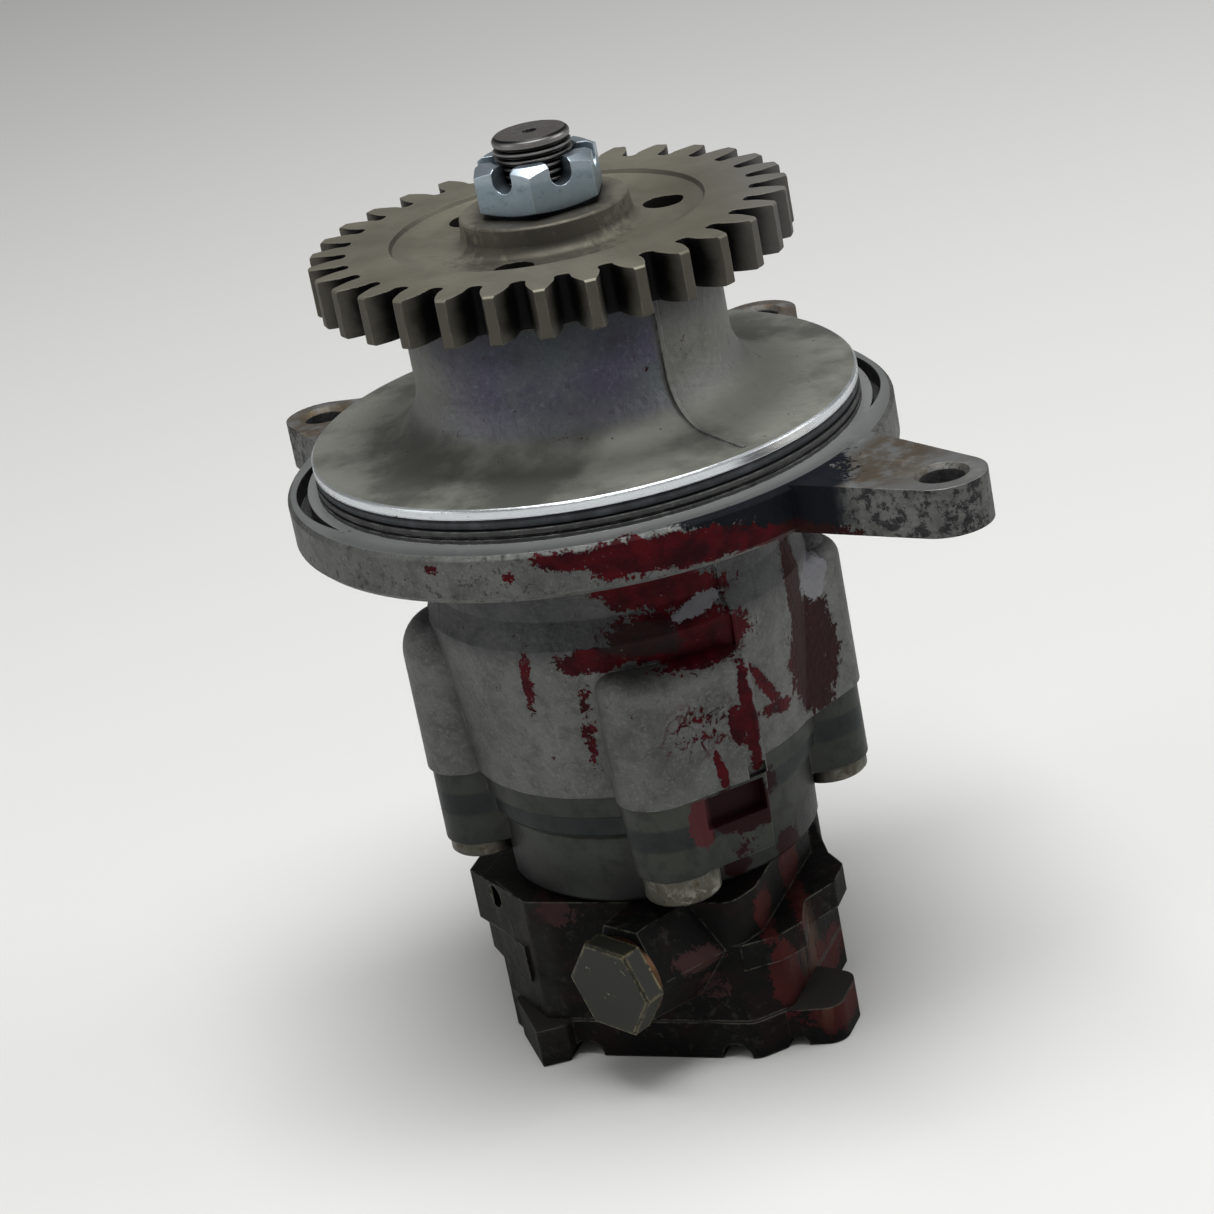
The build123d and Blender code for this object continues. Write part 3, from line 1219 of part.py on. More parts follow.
with BuildPart() as relief_poppet:
    with BuildSketch(valve_plane(SEAT_OUT + 0.05)):
        Circle(3.0)
    with BuildSketch(valve_plane(SEAT_OUT + 3.0)):
        Circle(VALVE_BORE_R - RUN)
    loft()
    with BuildSketch(valve_plane(SEAT_OUT + 3.0)):
        Circle(VALVE_BORE_R - RUN)
    extrude(amount=7.0)
    with BuildSketch(valve_plane(POPPET_OUT)):
        Circle(4.2)
    extrude(amount=-5.5, mode=Mode.SUBTRACT)
finish(relief_poppet, "relief_poppet")

SPRING_R, WIRE_R, SPRING_TURNS = 3.5, 0.55, 6
SPRING_FOOT = POPPET_OUT - 5.5 + WIRE_R + 0.02
SPRING_TOP = VALVE_FACE - PLUG_THREAD + 7 - WIRE_R - 0.02

SPRING_LENGTH = SPRING_TOP - SPRING_FOOT
with BuildPart() as spring_coil:
    with BuildLine() as coil:
        Helix(SPRING_LENGTH / SPRING_TURNS, SPRING_LENGTH, SPRING_R)
    with BuildSketch(Plane(origin=coil.line @ 0, z_dir=coil.line % 0)):
        Circle(WIRE_R)
    sweep(path=coil.line)

with BuildPart() as relief_spring:
    with Locations(valve_plane(SPRING_FOOT)):
        add(spring_coil.part)
finish(relief_spring, "relief_spring")
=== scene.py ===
import math

import bpy
from mathutils import Matrix, Vector


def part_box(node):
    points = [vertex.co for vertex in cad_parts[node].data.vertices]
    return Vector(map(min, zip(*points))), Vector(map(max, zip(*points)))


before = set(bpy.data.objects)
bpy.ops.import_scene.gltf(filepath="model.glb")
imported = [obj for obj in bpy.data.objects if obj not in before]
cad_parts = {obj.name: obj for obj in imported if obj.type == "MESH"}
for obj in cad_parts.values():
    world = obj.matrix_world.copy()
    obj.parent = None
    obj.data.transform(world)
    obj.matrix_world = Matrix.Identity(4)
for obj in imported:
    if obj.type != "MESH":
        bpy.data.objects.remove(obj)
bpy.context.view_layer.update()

# one millimetre, in the frame's metres
MM = 0.001


def top(node):
    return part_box(node)[1][2]


def foot(node):
    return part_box(node)[0][2]


# ---------------------------------------------------------------- shader graph helper
class Graph:
    """One procedural material: short names for the nodes it is built from.

    Values may be numbers or sockets. Positions are the part's own frame in metres, so the pattern
    rides with its body.
    """

    def __init__(self, name, metallic=0.0, roughness=0.5, specular=0.5):
        self.material = bpy.data.materials.new(name)
        self.material.use_nodes = True
        self.tree = self.material.node_tree
        self.shader = self.tree.nodes["Principled BSDF"]
        self.shader.inputs["Metallic"].default_value = metallic
        self.shader.inputs["Roughness"].default_value = roughness
        self.shader.inputs["Specular IOR Level"].default_value = specular
        self.point = self.node("ShaderNodeTexCoord").outputs["Object"]
        split = self.node("ShaderNodeSeparateXYZ", Vector=self.point)
        self.x, self.y, self.z = split.outputs

    def node(self, kind, _set=None, **inputs):
        made = self.tree.nodes.new(kind)
        for key, value in (_set or {}).items():
            setattr(made, key, value)
        for key, value in inputs.items():
            self.feed(made.inputs[key.replace("_", " ")], value)
        return made

    def feed(self, socket, value):
        if isinstance(value, bpy.types.NodeSocket):
            self.tree.links.new(value, socket)
        elif isinstance(value, tuple) and socket.type == "RGBA" and len(value) == 3:
            socket.default_value = (*value, 1.0)
        else:
            socket.default_value = value

    def math(self, operation, a, b):
        made = self.node("ShaderNodeMath", {"operation": operation})
        self.feed(made.inputs[0], a)
        self.feed(made.inputs[1], b)
        return made.outputs[0]

    def add(self, a, b):
        return self.math("ADD", a, b)

    def sub(self, a, b):
        return self.math("SUBTRACT", a, b)

    def mul(self, a, b):
        return self.math("MULTIPLY", a, b)

    def most(self, a, b):
        return self.math("MAXIMUM", a, b)

    def flip(self, a):
        return self.math("SUBTRACT", 1.0, a)

    def remap(self, value, low, high, out_low=0.0, out_high=1.0, smooth=True):
        """Value from low..high to out_low..out_high, eased and clamped."""
        kind = "SMOOTHSTEP" if smooth else "LINEAR"
        made = self.node("ShaderNodeMapRange", {"interpolation_type": kind})
        for socket, number in zip(made.inputs, (value, low, high, out_low, out_high)):
            self.feed(socket, number)
        return made.outputs[0]

    def band(self, value, low, high, soft):
        """1 between low and high, fading to 0 over soft at each end."""
        rise = self.remap(value, low - soft, low + soft)
        fall = self.remap(value, high - soft, high + soft, 1.0, 0.0)
        return self.mul(rise, fall)

    def mix(self, factor, a, b):
        made = self.node("ShaderNodeMix", {"data_type": "RGBA"})
        self.feed(made.inputs[0], factor)
        self.feed(made.inputs[6], a)
        self.feed(made.inputs[7], b)
        return made.outputs[2]

    def lerp(self, factor, a, b):
        made = self.node("ShaderNodeMix", {"data_type": "FLOAT"})
        self.feed(made.inputs[0], factor)
        self.feed(made.inputs[2], a)
        self.feed(made.inputs[3], b)
        return made.outputs[0]

    def stretch(self, scale):
        """The position scaled along x, y and z, for grain that runs one way."""
        return self.node("ShaderNodeMapping", Vector=self.point, Scale=scale).outputs[0]

    def noise(self, size, detail=4.0, rough=0.55, distort=0.0, vector=None):
        """Noise from 0 to 1 with features of a size in millimetres."""
        made = self.node("ShaderNodeTexNoise", Vector=vector or self.point, Scale=1000.0 / size,
                         Detail=detail, Roughness=rough, Distortion=distort)
        return made.outputs["Fac"]

    def cells(self, size):
        """Distance to scattered points a size in millimetres apart, for small pits."""
        made = self.node("ShaderNodeTexVoronoi", Vector=self.point, Scale=1000.0 / size)
        return made.outputs["Distance"]

    def radius(self):
        """Distance from the shaft's axis, in metres."""
        flat = self.node("ShaderNodeCombineXYZ", X=self.x, Y=self.y)
        return self.node("ShaderNodeVectorMath", {"operation": "LENGTH"},
                         Vector=flat.outputs[0]).outputs["Value"]

    def direction(self, middle):
        """Direction about the shaft in degrees, seamless except opposite the middle."""
        turn = math.radians(-middle)
        along = self.add(self.mul(self.x, math.cos(turn)), self.mul(self.y, -math.sin(turn)))
        across = self.add(self.mul(self.x, math.sin(turn)), self.mul(self.y, math.cos(turn)))
        angle = self.math("ARCTAN2", across, along)
        return self.add(self.mul(angle, 180.0 / math.pi), middle)

    def edges(self, size, start=0.02, full=0.25):
        """1 on convex and concave edges within a size in millimetres."""
        round_normal = self.node("ShaderNodeBevel", {"samples": 6}, Radius=size * MM).outputs[0]
        flat_normal = self.node("ShaderNodeNewGeometry").outputs["Normal"]
        dot = self.node("ShaderNodeVectorMath", {"operation": "DOT_PRODUCT"})
        self.feed(dot.inputs[0], round_normal)
        self.feed(dot.inputs[1], flat_normal)
        return self.remap(self.flip(dot.outputs["Value"]), start, full)

    def hollows(self, size, strength=1.0):
        """1 deep in corners and gaps, 0 on open surfaces."""
        open_air = self.node("ShaderNodeAmbientOcclusion", {"samples": 8}, Distance=size * MM)
        return self.remap(open_air.outputs["AO"], 0.35, 0.95, strength, 0.0)

    def facing_up(self):
        normal = self.node("ShaderNodeNewGeometry").outputs["Normal"]
        return self.node("ShaderNodeSeparateXYZ", Vector=normal).outputs["Z"]

    def bump(self, height, depth, strength=1.0, soften=0.0):
        """Relief of a depth in millimetres; soften rounds the edges by a size in millimetres."""
        made = self.node("ShaderNodeBump", Height=height, Distance=depth * MM, Strength=strength)
        if soften:
            rounded = self.node("ShaderNodeBevel", {"samples": 6}, Radius=soften * MM)
            self.feed(made.inputs["Normal"], rounded.outputs[0])
        self.feed(self.shader.inputs["Normal"], made.outputs[0])

    def set(self, **sockets):
        for key, value in sockets.items():
            self.feed(self.shader.inputs[key.replace("_", " ")], value)


def srgb(red, green, blue):
    """Linear colour from 0-255 display values."""
    def linear(level):
        level /= 255
        return level / 12.92 if level <= 0.04045 else ((level + 0.055) / 1.055) ** 2.4
    return (linear(red), linear(green), linear(blue))


def ragged(g, region, chip_size, amount=1.0, edge=0.03):
    """Turns a soft region into flaking paint: solid inside, broken into chips at its border."""
    coarse = g.noise(chip_size, 6.0, 0.68, 0.6)
    fine = g.noise(chip_size * 0.24, 4.0, 0.7)
    grain = g.add(g.mul(coarse, 3.0), g.mul(fine, 1.8))
    level = g.add(region, g.mul(g.sub(grain, 2.4), amount))
    return g.remap(level, 0.5 - edge, 0.5 + edge)


def patches(g, spots):
    """Union of soft ellipses on the front half of the part.

    Each spot is x, z, half width, half height (mm), the degrees its right end drops, and a strength.
    """
    front = g.remap(g.y, -7 * MM, -3 * MM, 1.0, 0.0)
    total = None
    for x, z, wide, high, drop, strength in spots:
        place = g.node("ShaderNodeMapping", {"vector_type": "TEXTURE"}, Vector=g.point,
                       Location=(x * MM, 0, z * MM), Rotation=(0, math.radians(drop), 0),
                       Scale=(wide * MM, 1.0, high * MM)).outputs[0]
        away = g.node("ShaderNodeVectorMath", {"operation": "LENGTH"}, Vector=place)
        region = g.remap(away.outputs["Value"], 0.35, 1.65, strength, 0.0)
        total = region if total is None else g.most(total, region)
    return g.mul(total, front)


# ---------------------------------------------------------------- materials
def cast_housing():
    """Sand-cast aluminium with machined lands, oil stains and remains of red and navy paint."""
    g = Graph("housing_casting", metallic=1.0, roughness=0.5)
    radius, angle = g.radius(), g.direction(-70.0)
    cloud, mottle = g.noise(26, 5, 0.6), g.noise(5.5, 6, 0.65, 0.4)
    grain, pits = g.noise(1.1, 4, 0.7), g.cells(1.7)

    # where the surface is: neck, disc, rim, body
    neck = g.mul(g.remap(g.z, 10 * MM, 15 * MM), g.remap(radius, 38 * MM, 45 * MM, 1.0, 0.0))
    disc = g.mul(g.remap(g.z, 6.4 * MM, 7.4 * MM), g.flip(neck))
    rim = g.mul(g.remap(g.z, -12 * MM, -10.5 * MM), g.flip(g.remap(g.z, 0.5 * MM, 1.5 * MM)))
    body = g.flip(g.remap(g.z, -12 * MM, -10.5 * MM))

    base = g.mix(cloud, srgb(80, 82, 81), srgb(124, 125, 122))
    base = g.mix(g.mul(g.remap(mottle, 0.42, 0.66), 0.5), base, srgb(68, 70, 69))
    salt = g.remap(g.noise(0.7, 5, 0.8), 0.5, 0.66)
    base = g.mix(g.mul(salt, 0.28), base, srgb(150, 150, 147))
    ridge_left = g.mul(g.remap(angle, -64, -60, 1.0, 0.0), g.remap(angle, -165, -120))
    violet = g.mix(g.remap(g.noise(14, 4, 0.6), 0.35, 0.6), srgb(112, 119, 123), srgb(102, 100, 119))
    neck_tint = g.mix(ridge_left, srgb(136, 136, 130), violet)
    # painted highlight: the foot of the neck made lighter, where the light falls on its fillet
    neck_foot_highlight = g.mul(g.remap(g.z, 12 * MM, 22 * MM, 1.0, 0.0), 0.4)
    neck_tint = g.mix(neck_foot_highlight, neck_tint, srgb(160, 163, 163))
    bright_rub = g.mul(g.remap(g.noise(1.5, 6, 0.8, 0.6), 0.53, 0.62), g.lerp(ridge_left, 0.1, 0.22))
    neck_tint = g.mix(bright_rub, neck_tint, srgb(170, 172, 184))
    neck_dark = g.mul(g.remap(g.noise(1.3, 6, 0.8, 0.6), 0.54, 0.62), g.lerp(ridge_left, 0.08, 0.28))
    neck_tint = g.mix(neck_dark, neck_tint, srgb(60, 58, 72))
    # painted shade: the top of the neck made darker, as the shadow under the gear
    neck_top_shade = g.remap(g.add(g.z, g.mul(g.noise(9, 4, 0.6), 8 * MM)), 24 * MM, 38 * MM)
    neck_tint = g.mix(g.mul(neck_top_shade, 0.7), neck_tint, srgb(50, 52, 60))
    base = g.mix(g.mul(neck, 0.95), base, neck_tint)
    disc_tint = g.mix(g.remap(cloud, 0.38, 0.6), srgb(112, 113, 106), srgb(162, 163, 154))
    base = g.mix(g.mul(disc, 0.9), base, disc_tint)

    # dark speckle on the rim
    speck = g.mul(g.remap(g.noise(1.7, 5, 0.74), 0.54, 0.62), g.remap(g.noise(12, 3), 0.36, 0.56))
    base = g.mix(g.mul(g.mul(rim, speck), 0.75), base, srgb(46, 44, 46))

    # oily dirt patches down the body, and painted shade darkening the corners and gaps
    dirt_and_corner_shade = g.most(g.mul(g.hollows(11), 0.85), g.mul(g.remap(g.noise(9, 5, 0.6), 0.56, 0.7), 0.3))
    base = g.mix(dirt_and_corner_shade, base, srgb(34, 35, 35))
    # painted shade under the flange: the body made darker just below it
    under_flange_shade = g.mul(g.band(g.z, -33 * MM, -10 * MM, 3 * MM), g.remap(radius, 41 * MM, 46 * MM, 1.0, 0.0))
    base = g.mix(g.mul(under_flange_shade, 0.5), base, srgb(40, 39, 46))

    # machined: spigot land, seat ring and ear faces
    land = g.mul(g.remap(radius, 56.8 * MM, 57.1 * MM), g.band(g.z, 5.1 * MM, 7.3 * MM, 0.15 * MM))
    seat = g.mul(g.remap(g.facing_up(), 0.7, 0.9), g.band(g.z, -0.3 * MM, 0.1 * MM, 0.1 * MM))
    lathe = g.noise(0.35, 2, 0.5, 0, g.stretch((0.02, 0.02, 1.0)))
    machined = g.most(land, g.mul(seat, 0.8))
    bright = g.mix(lathe, srgb(196, 202, 206), srgb(236, 240, 243))
    base = g.mix(machined, base, g.mix(g.mul(seat, 0.75), bright, srgb(148, 149, 146)))
    worn = g.mul(g.edges(0.55), g.remap(g.noise(3.5, 5, 0.65), 0.46, 0.62))
    base = g.mix(g.mul(worn, 0.55), base, srgb(176, 178, 174))

    # paint: navy on the rim beside the long ear, red below it and down the body
    navy_region = patches(g, ((24, -0.4, 15, 2.6, 6, 1.0), (38, -3.0, 16, 4.6, 8, 1.2)))
    navy = g.mul(ragged(g, navy_region, 3, 0.6), g.remap(radius, 61.5 * MM, 62.5 * MM))
    navy = g.mul(navy, g.remap(radius, 72 * MM, 78 * MM, 1.0, 0.0))
    red_rim = patches(g, (
        (-8, -3.0, 9, 2.2, 8, 1.0), (1, -4.3, 9, 3.8, 6, 1.2), (14, -5.0, 13, 3.4, 5, 1.3),
        (29, -7.2, 14, 2.6, 8, 1.3), (-23, -4.6, 1.4, 1.6, 0, 0.7), (-37, -2.6, 1.6, 1.2, 0, 0.7)))
    red_rim = g.mul(red_rim, g.remap(radius, 60 * MM, 62 * MM))
    red_body = patches(g, (
        (7, -22.5, 14, 4.2, 10, 1.0), (9, -32.6, 14, 5.0, 12, 1.4), (-10, -33.6, 7, 2.8, 0, 1.1),
        (-23, -37, 1.2, 8, 3, 0.66), (-12.6, -48, 1.6, 12, 2, 0.6), (19.6, -53, 1.6, 12.5, 0, 1.0),
        (17, -53, 2.0, 4.5, 0, 1.1), (24.8, -51, 7, 1.3, 66, 0.85), (27, -57, 3.6, 1.8, 10, 0.85),
        (37, -52, 5.4, 12.5, 0, 1.5), (34.8, -36, 1.7, 12, 0, 1.3), (11.8, -61, 1.1, 4.6, -8, 0.9)))
    speckles = g.mul(patches(g, ((9.5, -51, 8, 5.6, 0, 1.3),)),
                     g.remap(g.noise(2.4, 6, 0.75, 0.8), 0.535, 0.555))
    red_body = g.mul(red_body, g.mul(body, g.remap(radius, 52 * MM, 56 * MM, 1.0, 0.0)))
    bare_spots = ((13, -27.6, 5.5, 1.7, -14, 1.0), (40, -37, 3.2, 4.4, 0, 1.1))
    bare = ragged(g, patches(g, bare_spots), 2.5, 0.7)
    red_mask = g.most(ragged(g, red_rim, 3.2, 0.8), ragged(g, red_body, 3.4, 0.7))
    red_mask = g.mul(g.most(red_mask, speckles), g.flip(bare))
    red_tone = g.mix(g.remap(g.noise(5, 5, 0.6), 0.3, 0.7), srgb(38, 4, 9), srgb(76, 9, 17))
    lobe_tone = g.mix(mottle, srgb(26, 9, 9), srgb(50, 17, 17))
    red_tone = g.mix(g.remap(g.x, 28 * MM, 34 * MM), red_tone, lobe_tone)
    oily = ragged(g, patches(g, ((0.5, -31.0, 8.0, 3.4, 12, 1.1),)), 6, 0.6, 0.3)
    red_tone = g.mix(g.mul(oily, 0.75), red_tone, srgb(32, 32, 30))
    ear_rust = g.mul(g.remap(radius, 63.5 * MM, 68 * MM), g.remap(g.facing_up(), 0.5, 0.8))
    ear_rust = g.mul(g.mul(ear_rust, g.remap(radius, 78 * MM, 88 * MM, 1.0, 0.25)),
                     g.remap(g.noise(6, 5, 0.65), 0.36, 0.56))
    base = g.mix(g.mul(ear_rust, 0.85), base, g.mix(mottle, srgb(92, 74, 50), srgb(136, 116, 88)))
    ear_side = g.mul(g.remap(radius, 66 * MM, 74 * MM), g.remap(g.facing_up(), 0.2, 0.5, 1.0, 0.0))
    ear_chips = g.remap(g.noise(3.0, 6, 0.75), 0.48, 0.56)
    base = g.mix(g.mul(ear_side, g.mul(ear_chips, 0.85)), base, srgb(38, 38, 42))
    base = g.mix(g.mul(bare, 0.55), base, srgb(140, 140, 147))
    base = g.mix(red_mask, base, red_tone)
    base = g.mix(navy, base, g.mix(mottle, srgb(8, 11, 15), srgb(20, 24, 31)))

    paint = g.most(navy, red_mask)
    g.set(Base_Color=base, Metallic=g.remap(g.most(paint, g.mul(dirt_and_corner_shade, 0.8)), 0, 1, 0.92, 0.0, smooth=False))
    rough = g.lerp(machined, g.add(0.5, g.mul(grain, 0.22)), g.lerp(lathe, 0.2, 0.34))
    g.set(Roughness=g.lerp(paint, rough, 0.5))
    g.set(Specular_IOR_Level=g.lerp(paint, 0.5, 0.07))
    cast_relief = g.add(g.mul(grain, 0.6), g.add(g.mul(pits, 0.35), g.mul(mottle, 0.8)))
    rough_cast = g.lerp(disc, g.lerp(machined, g.lerp(neck, 1.0, 1.5), 0.06), 0.3)
    relief = g.add(g.mul(cast_relief, rough_cast), g.mul(paint, 0.35))
    g.bump(relief, 0.32, 0.9, 0.5)
    return g.material


def cover_casting():
    """Darker, oily die casting of the rear cover, with red left in the pad's recess, and painted shade in
    its corners, on the ring under the flange lip and towards its foot.
    """
    g = Graph("cover_casting", metallic=0.9, roughness=0.48)
    cloud, mottle, grain = g.noise(18, 5, 0.6), g.noise(4.5, 5, 0.6, 0.3), g.noise(0.9, 4, 0.7)
    base = g.mix(cloud, srgb(42, 45, 43), srgb(74, 76, 70))
    base = g.mix(g.mul(g.remap(mottle, 0.45, 0.65), 0.45), base, srgb(40, 43, 41))
    # painted shade: a darker band on the recessed ring under the flange lip
    band = g.band(g.z, -75.6 * MM, -70.6 * MM, 0.5 * MM)
    base = g.mix(g.mul(band, 0.6), base, srgb(34, 38, 43))
    # painted shade: the cover made darker towards its foot
    low = g.mul(g.remap(g.z, -88 * MM, -78 * MM, 1.0, 0.0), 0.55)
    base = g.mix(low, base, srgb(28, 30, 32))
    # painted shade: darker in the corners and gaps, where it is also not metallic, as dirt
    dirt_and_corner_shade = g.mul(g.hollows(9), 0.9)
    base = g.mix(dirt_and_corner_shade, base, srgb(18, 19, 18))
    worn = g.mul(g.edges(0.5), g.remap(g.noise(3.5, 5, 0.65), 0.48, 0.64))
    base = g.mix(g.mul(worn, 0.6), base, srgb(126, 128, 122))
    smears = patches(g, (
        (5.9, -71.4, 2.5, 5.0, 0, 1.3), (14.5, -71.6, 8.5, 4.6, 12, 1.5), (14, -80, 4, 2.6, 10, 0.5),
        (12.2, -88.9, 2.8, 1.9, 5, 1.2), (24, -90, 2.6, 4.0, 0, 1.1)))
    red = ragged(g, smears, 3.0, 0.55)
    deep = g.remap(g.x, 7.2 * MM, 8.4 * MM)
    red_tone = g.mix(deep, g.mix(mottle, srgb(64, 30, 33), srgb(84, 38, 42)),
                     g.mix(mottle, srgb(22, 4, 6), srgb(42, 8, 13)))
    base = g.mix(red, base, red_tone)
    g.set(Base_Color=base, Metallic=g.remap(g.most(red, dirt_and_corner_shade), 0, 1, 0.9, 0.0, smooth=False))
    g.set(Roughness=g.add(0.4, g.mul(mottle, 0.25)), Specular_IOR_Level=g.lerp(red, 0.5, 0.1))
    g.bump(g.add(g.mul(grain, 0.4), g.mul(mottle, 0.6)), 0.2, 0.8, 0.4)
    return g.material


def painted_iron():
    """Black paint over cast iron, with rust-brown and worn red patches."""
    g = Graph("painted_iron", metallic=0.0, roughness=0.6, specular=0.09)
    cloud, mottle, grain = g.noise(16, 5, 0.62), g.noise(4, 6, 0.65, 0.4), g.noise(0.8, 4, 0.7)
    base = g.mix(cloud, srgb(7, 8, 8), srgb(18, 18, 17))
    brown = g.remap(g.noise(11, 5, 0.6, 0.5), 0.48, 0.62)
    base = g.mix(g.mul(brown, 0.5), base, srgb(32, 18, 16))
    grey = g.mul(g.remap(g.x, -31 * MM, -27 * MM, 1.0, 0.0), g.remap(g.noise(9, 4, 0.6), 0.28, 0.5))
    base = g.mix(g.mul(grey, 0.6), base, srgb(42, 43, 40))
    dust = g.mul(g.remap(g.noise(2.2, 6, 0.75), 0.53, 0.62), g.remap(g.noise(14, 3), 0.4, 0.6))
    base = g.mix(g.mul(dust, 0.22), base, srgb(84, 80, 72))
    red_region = patches(g, (
        (24, -97, 2.4, 8, 0, 1.0), (18, -113, 3.4, 8.5, 0, 1.2), (0, -103, 6, 2.8, 12, 0.9),
        (2, -111.5, 4, 3.6, 0, 0.6), (27, -122, 7, 5.5, 0, 0.95), (-27.5, -95, 4, 3.2, 0, 0.85),
        (15.5, -99, 2.6, 5.6, 0, 0.8)))
    red = ragged(g, red_region, 4.0, 0.7)
    red_tone = g.mix(mottle, srgb(42, 15, 14), srgb(74, 31, 28))
    pink = g.mix(mottle, srgb(40, 25, 25), srgb(66, 45, 44))
    red_tone = g.mix(g.remap(g.x, 6 * MM, 10 * MM, 1.0, 0.0), red_tone, pink)
    base = g.mix(red, base, red_tone)
    streaks = g.noise(3, 4, 0.6, 0, g.stretch((1.0, 1.0, 0.16)))
    tan_streak = g.mul(patches(g, ((24.5, -114, 2.2, 9, 0, 1.2),)), g.remap(streaks, 0.46, 0.54))
    base = g.mix(g.mul(tan_streak, 0.5), base, srgb(96, 72, 58))
    bare = g.mul(g.edges(0.8), g.remap(g.noise(3.5, 5, 0.65), 0.4, 0.56))
    base = g.mix(g.mul(bare, 0.8), base, srgb(118, 118, 108))
    # painted shade: darker in the corners and gaps
    base = g.mix(g.mul(g.hollows(8), 0.7), base, srgb(8, 8, 8))
    g.set(Base_Color=base, Metallic=g.mul(bare, 0.6))
    g.set(Roughness=g.add(0.46, g.mul(mottle, 0.28)))
    g.bump(g.add(g.mul(grain, 0.45), g.add(g.mul(mottle, 0.8), g.mul(red, 0.3))), 0.3, 0.9, 0.6)
    return g.material


def gear_steel():
    """Hobbed gear steel with an olive oil film, stained beside the hub, with painted black shade in the
    tooth gaps and the web holes, and a painted highlight on its right side.
    """
    g = Graph("gear_steel", metallic=0.8, roughness=0.5)
    radius = g.radius()
    rings = g.node("ShaderNodeTexNoise", {"noise_dimensions": "1D"}, W=radius,
                   Scale=2600.0, Detail=3.0, Roughness=0.6).outputs["Fac"]
    cloud, mottle = g.noise(30, 4, 0.55), g.noise(5, 5, 0.62, 0.4)
    base = g.mix(g.remap(cloud, 0.3, 0.7), srgb(104, 101, 88), srgb(132, 129, 116))
    base = g.mix(g.mul(g.remap(mottle, 0.46, 0.68), 0.22), base, srgb(88, 86, 78))
    base = g.mix(g.mul(g.sub(rings, 0.4), 0.12), base, srgb(160, 157, 144))
    # painted highlight: the right side of the gear made lighter, where the light falls
    right_side_highlight = g.remap(g.x, 30 * MM, 47 * MM)
    base = g.mix(g.mul(right_side_highlight, 0.35), base, srgb(148, 147, 149))
    stain = ragged(g, patches(g, ((-3, 48.5, 17, 5.5, 0, 1.0),)), 8, 0.9, 0.35)
    stain = g.mul(stain, g.remap(radius, 24 * MM, 29 * MM, 1.0, 0.0))
    base = g.mix(g.mul(stain, 0.55), base, srgb(48, 43, 43))
    # painted shade: the tooth flanks made black towards the roots, lighter outwards
    flank = g.mul(g.remap(g.facing_up(), 0.3, 0.6, 1.0, 0.0), g.remap(radius, 40 * MM, 41.5 * MM))
    outward = g.remap(g.add(radius, g.mul(g.noise(4, 4, 0.6), 4 * MM)), 46.8 * MM, 51.8 * MM)
    flank_shade_tone = g.mix(g.mul(outward, 0.85), srgb(12, 12, 12), srgb(94, 91, 82))
    flank_shade_tone = g.mix(g.mul(right_side_highlight, 0.3), flank_shade_tone, srgb(116, 113, 116))
    base = g.mix(flank, base, flank_shade_tone)
    # painted shade: the walls of the web holes made black
    upright = g.remap(g.facing_up(), 0.3, 0.6, 1.0, 0.0)
    hole_wall_shade = g.mul(upright, g.band(radius, 19.5 * MM, 36 * MM, 0.5 * MM))
    base = g.mix(g.mul(hole_wall_shade, 0.85), base, srgb(12, 12, 12))
    # painted shade: darker in the corners and gaps
    base = g.mix(g.mul(g.hollows(5), 0.8), base, srgb(14, 14, 14))
    worn = g.mul(g.edges(0.45), g.remap(g.noise(3.5, 4), 0.42, 0.6))
    base = g.mix(g.mul(worn, 0.5), base, srgb(168, 165, 152))
    g.set(Base_Color=base)
    g.set(Roughness=g.add(0.48, g.mul(mottle, 0.2)))
    g.bump(g.add(g.mul(rings, 0.15), g.add(g.mul(mottle, 0.3), g.mul(g.noise(0.7, 3), 0.3))),
           0.06, 0.6, 0.3)
    return g.material


def zinc_nut():
    """Zinc plating with a blue cast, dulled patches and bright corners."""
    g = Graph("zinc_plate", metallic=1.0, roughness=0.36)
    cloud, spots = g.noise(7, 4, 0.6), g.noise(2.2, 5, 0.65, 0.5)
    base = g.mix(cloud, srgb(136, 156, 168), srgb(180, 196, 208))
    base = g.mix(g.mul(g.remap(spots, 0.54, 0.68), 0.4), base, srgb(108, 126, 136))
    # painted highlight: the crown of the nut made lighter
    crown_highlight = g.remap(g.add(g.z, g.mul(g.noise(2.5, 4), 3 * MM)), 59.4 * MM, 60.6 * MM)
    base = g.mix(g.mul(crown_highlight, 0.3), base, srgb(214, 222, 230))
    base = g.mix(g.mul(g.edges(0.5), 0.45), base, srgb(222, 230, 238))
    # painted shade: darker in the slots and corners
    base = g.mix(g.mul(g.hollows(4), 0.75), base, srgb(40, 44, 48))
    g.set(Base_Color=base, Roughness=g.add(0.26, g.mul(spots, 0.24)))
    g.bump(g.add(g.mul(spots, 0.5), g.mul(g.noise(0.6, 3), 0.3)), 0.06, 0.7, 0.35)
    return g.material


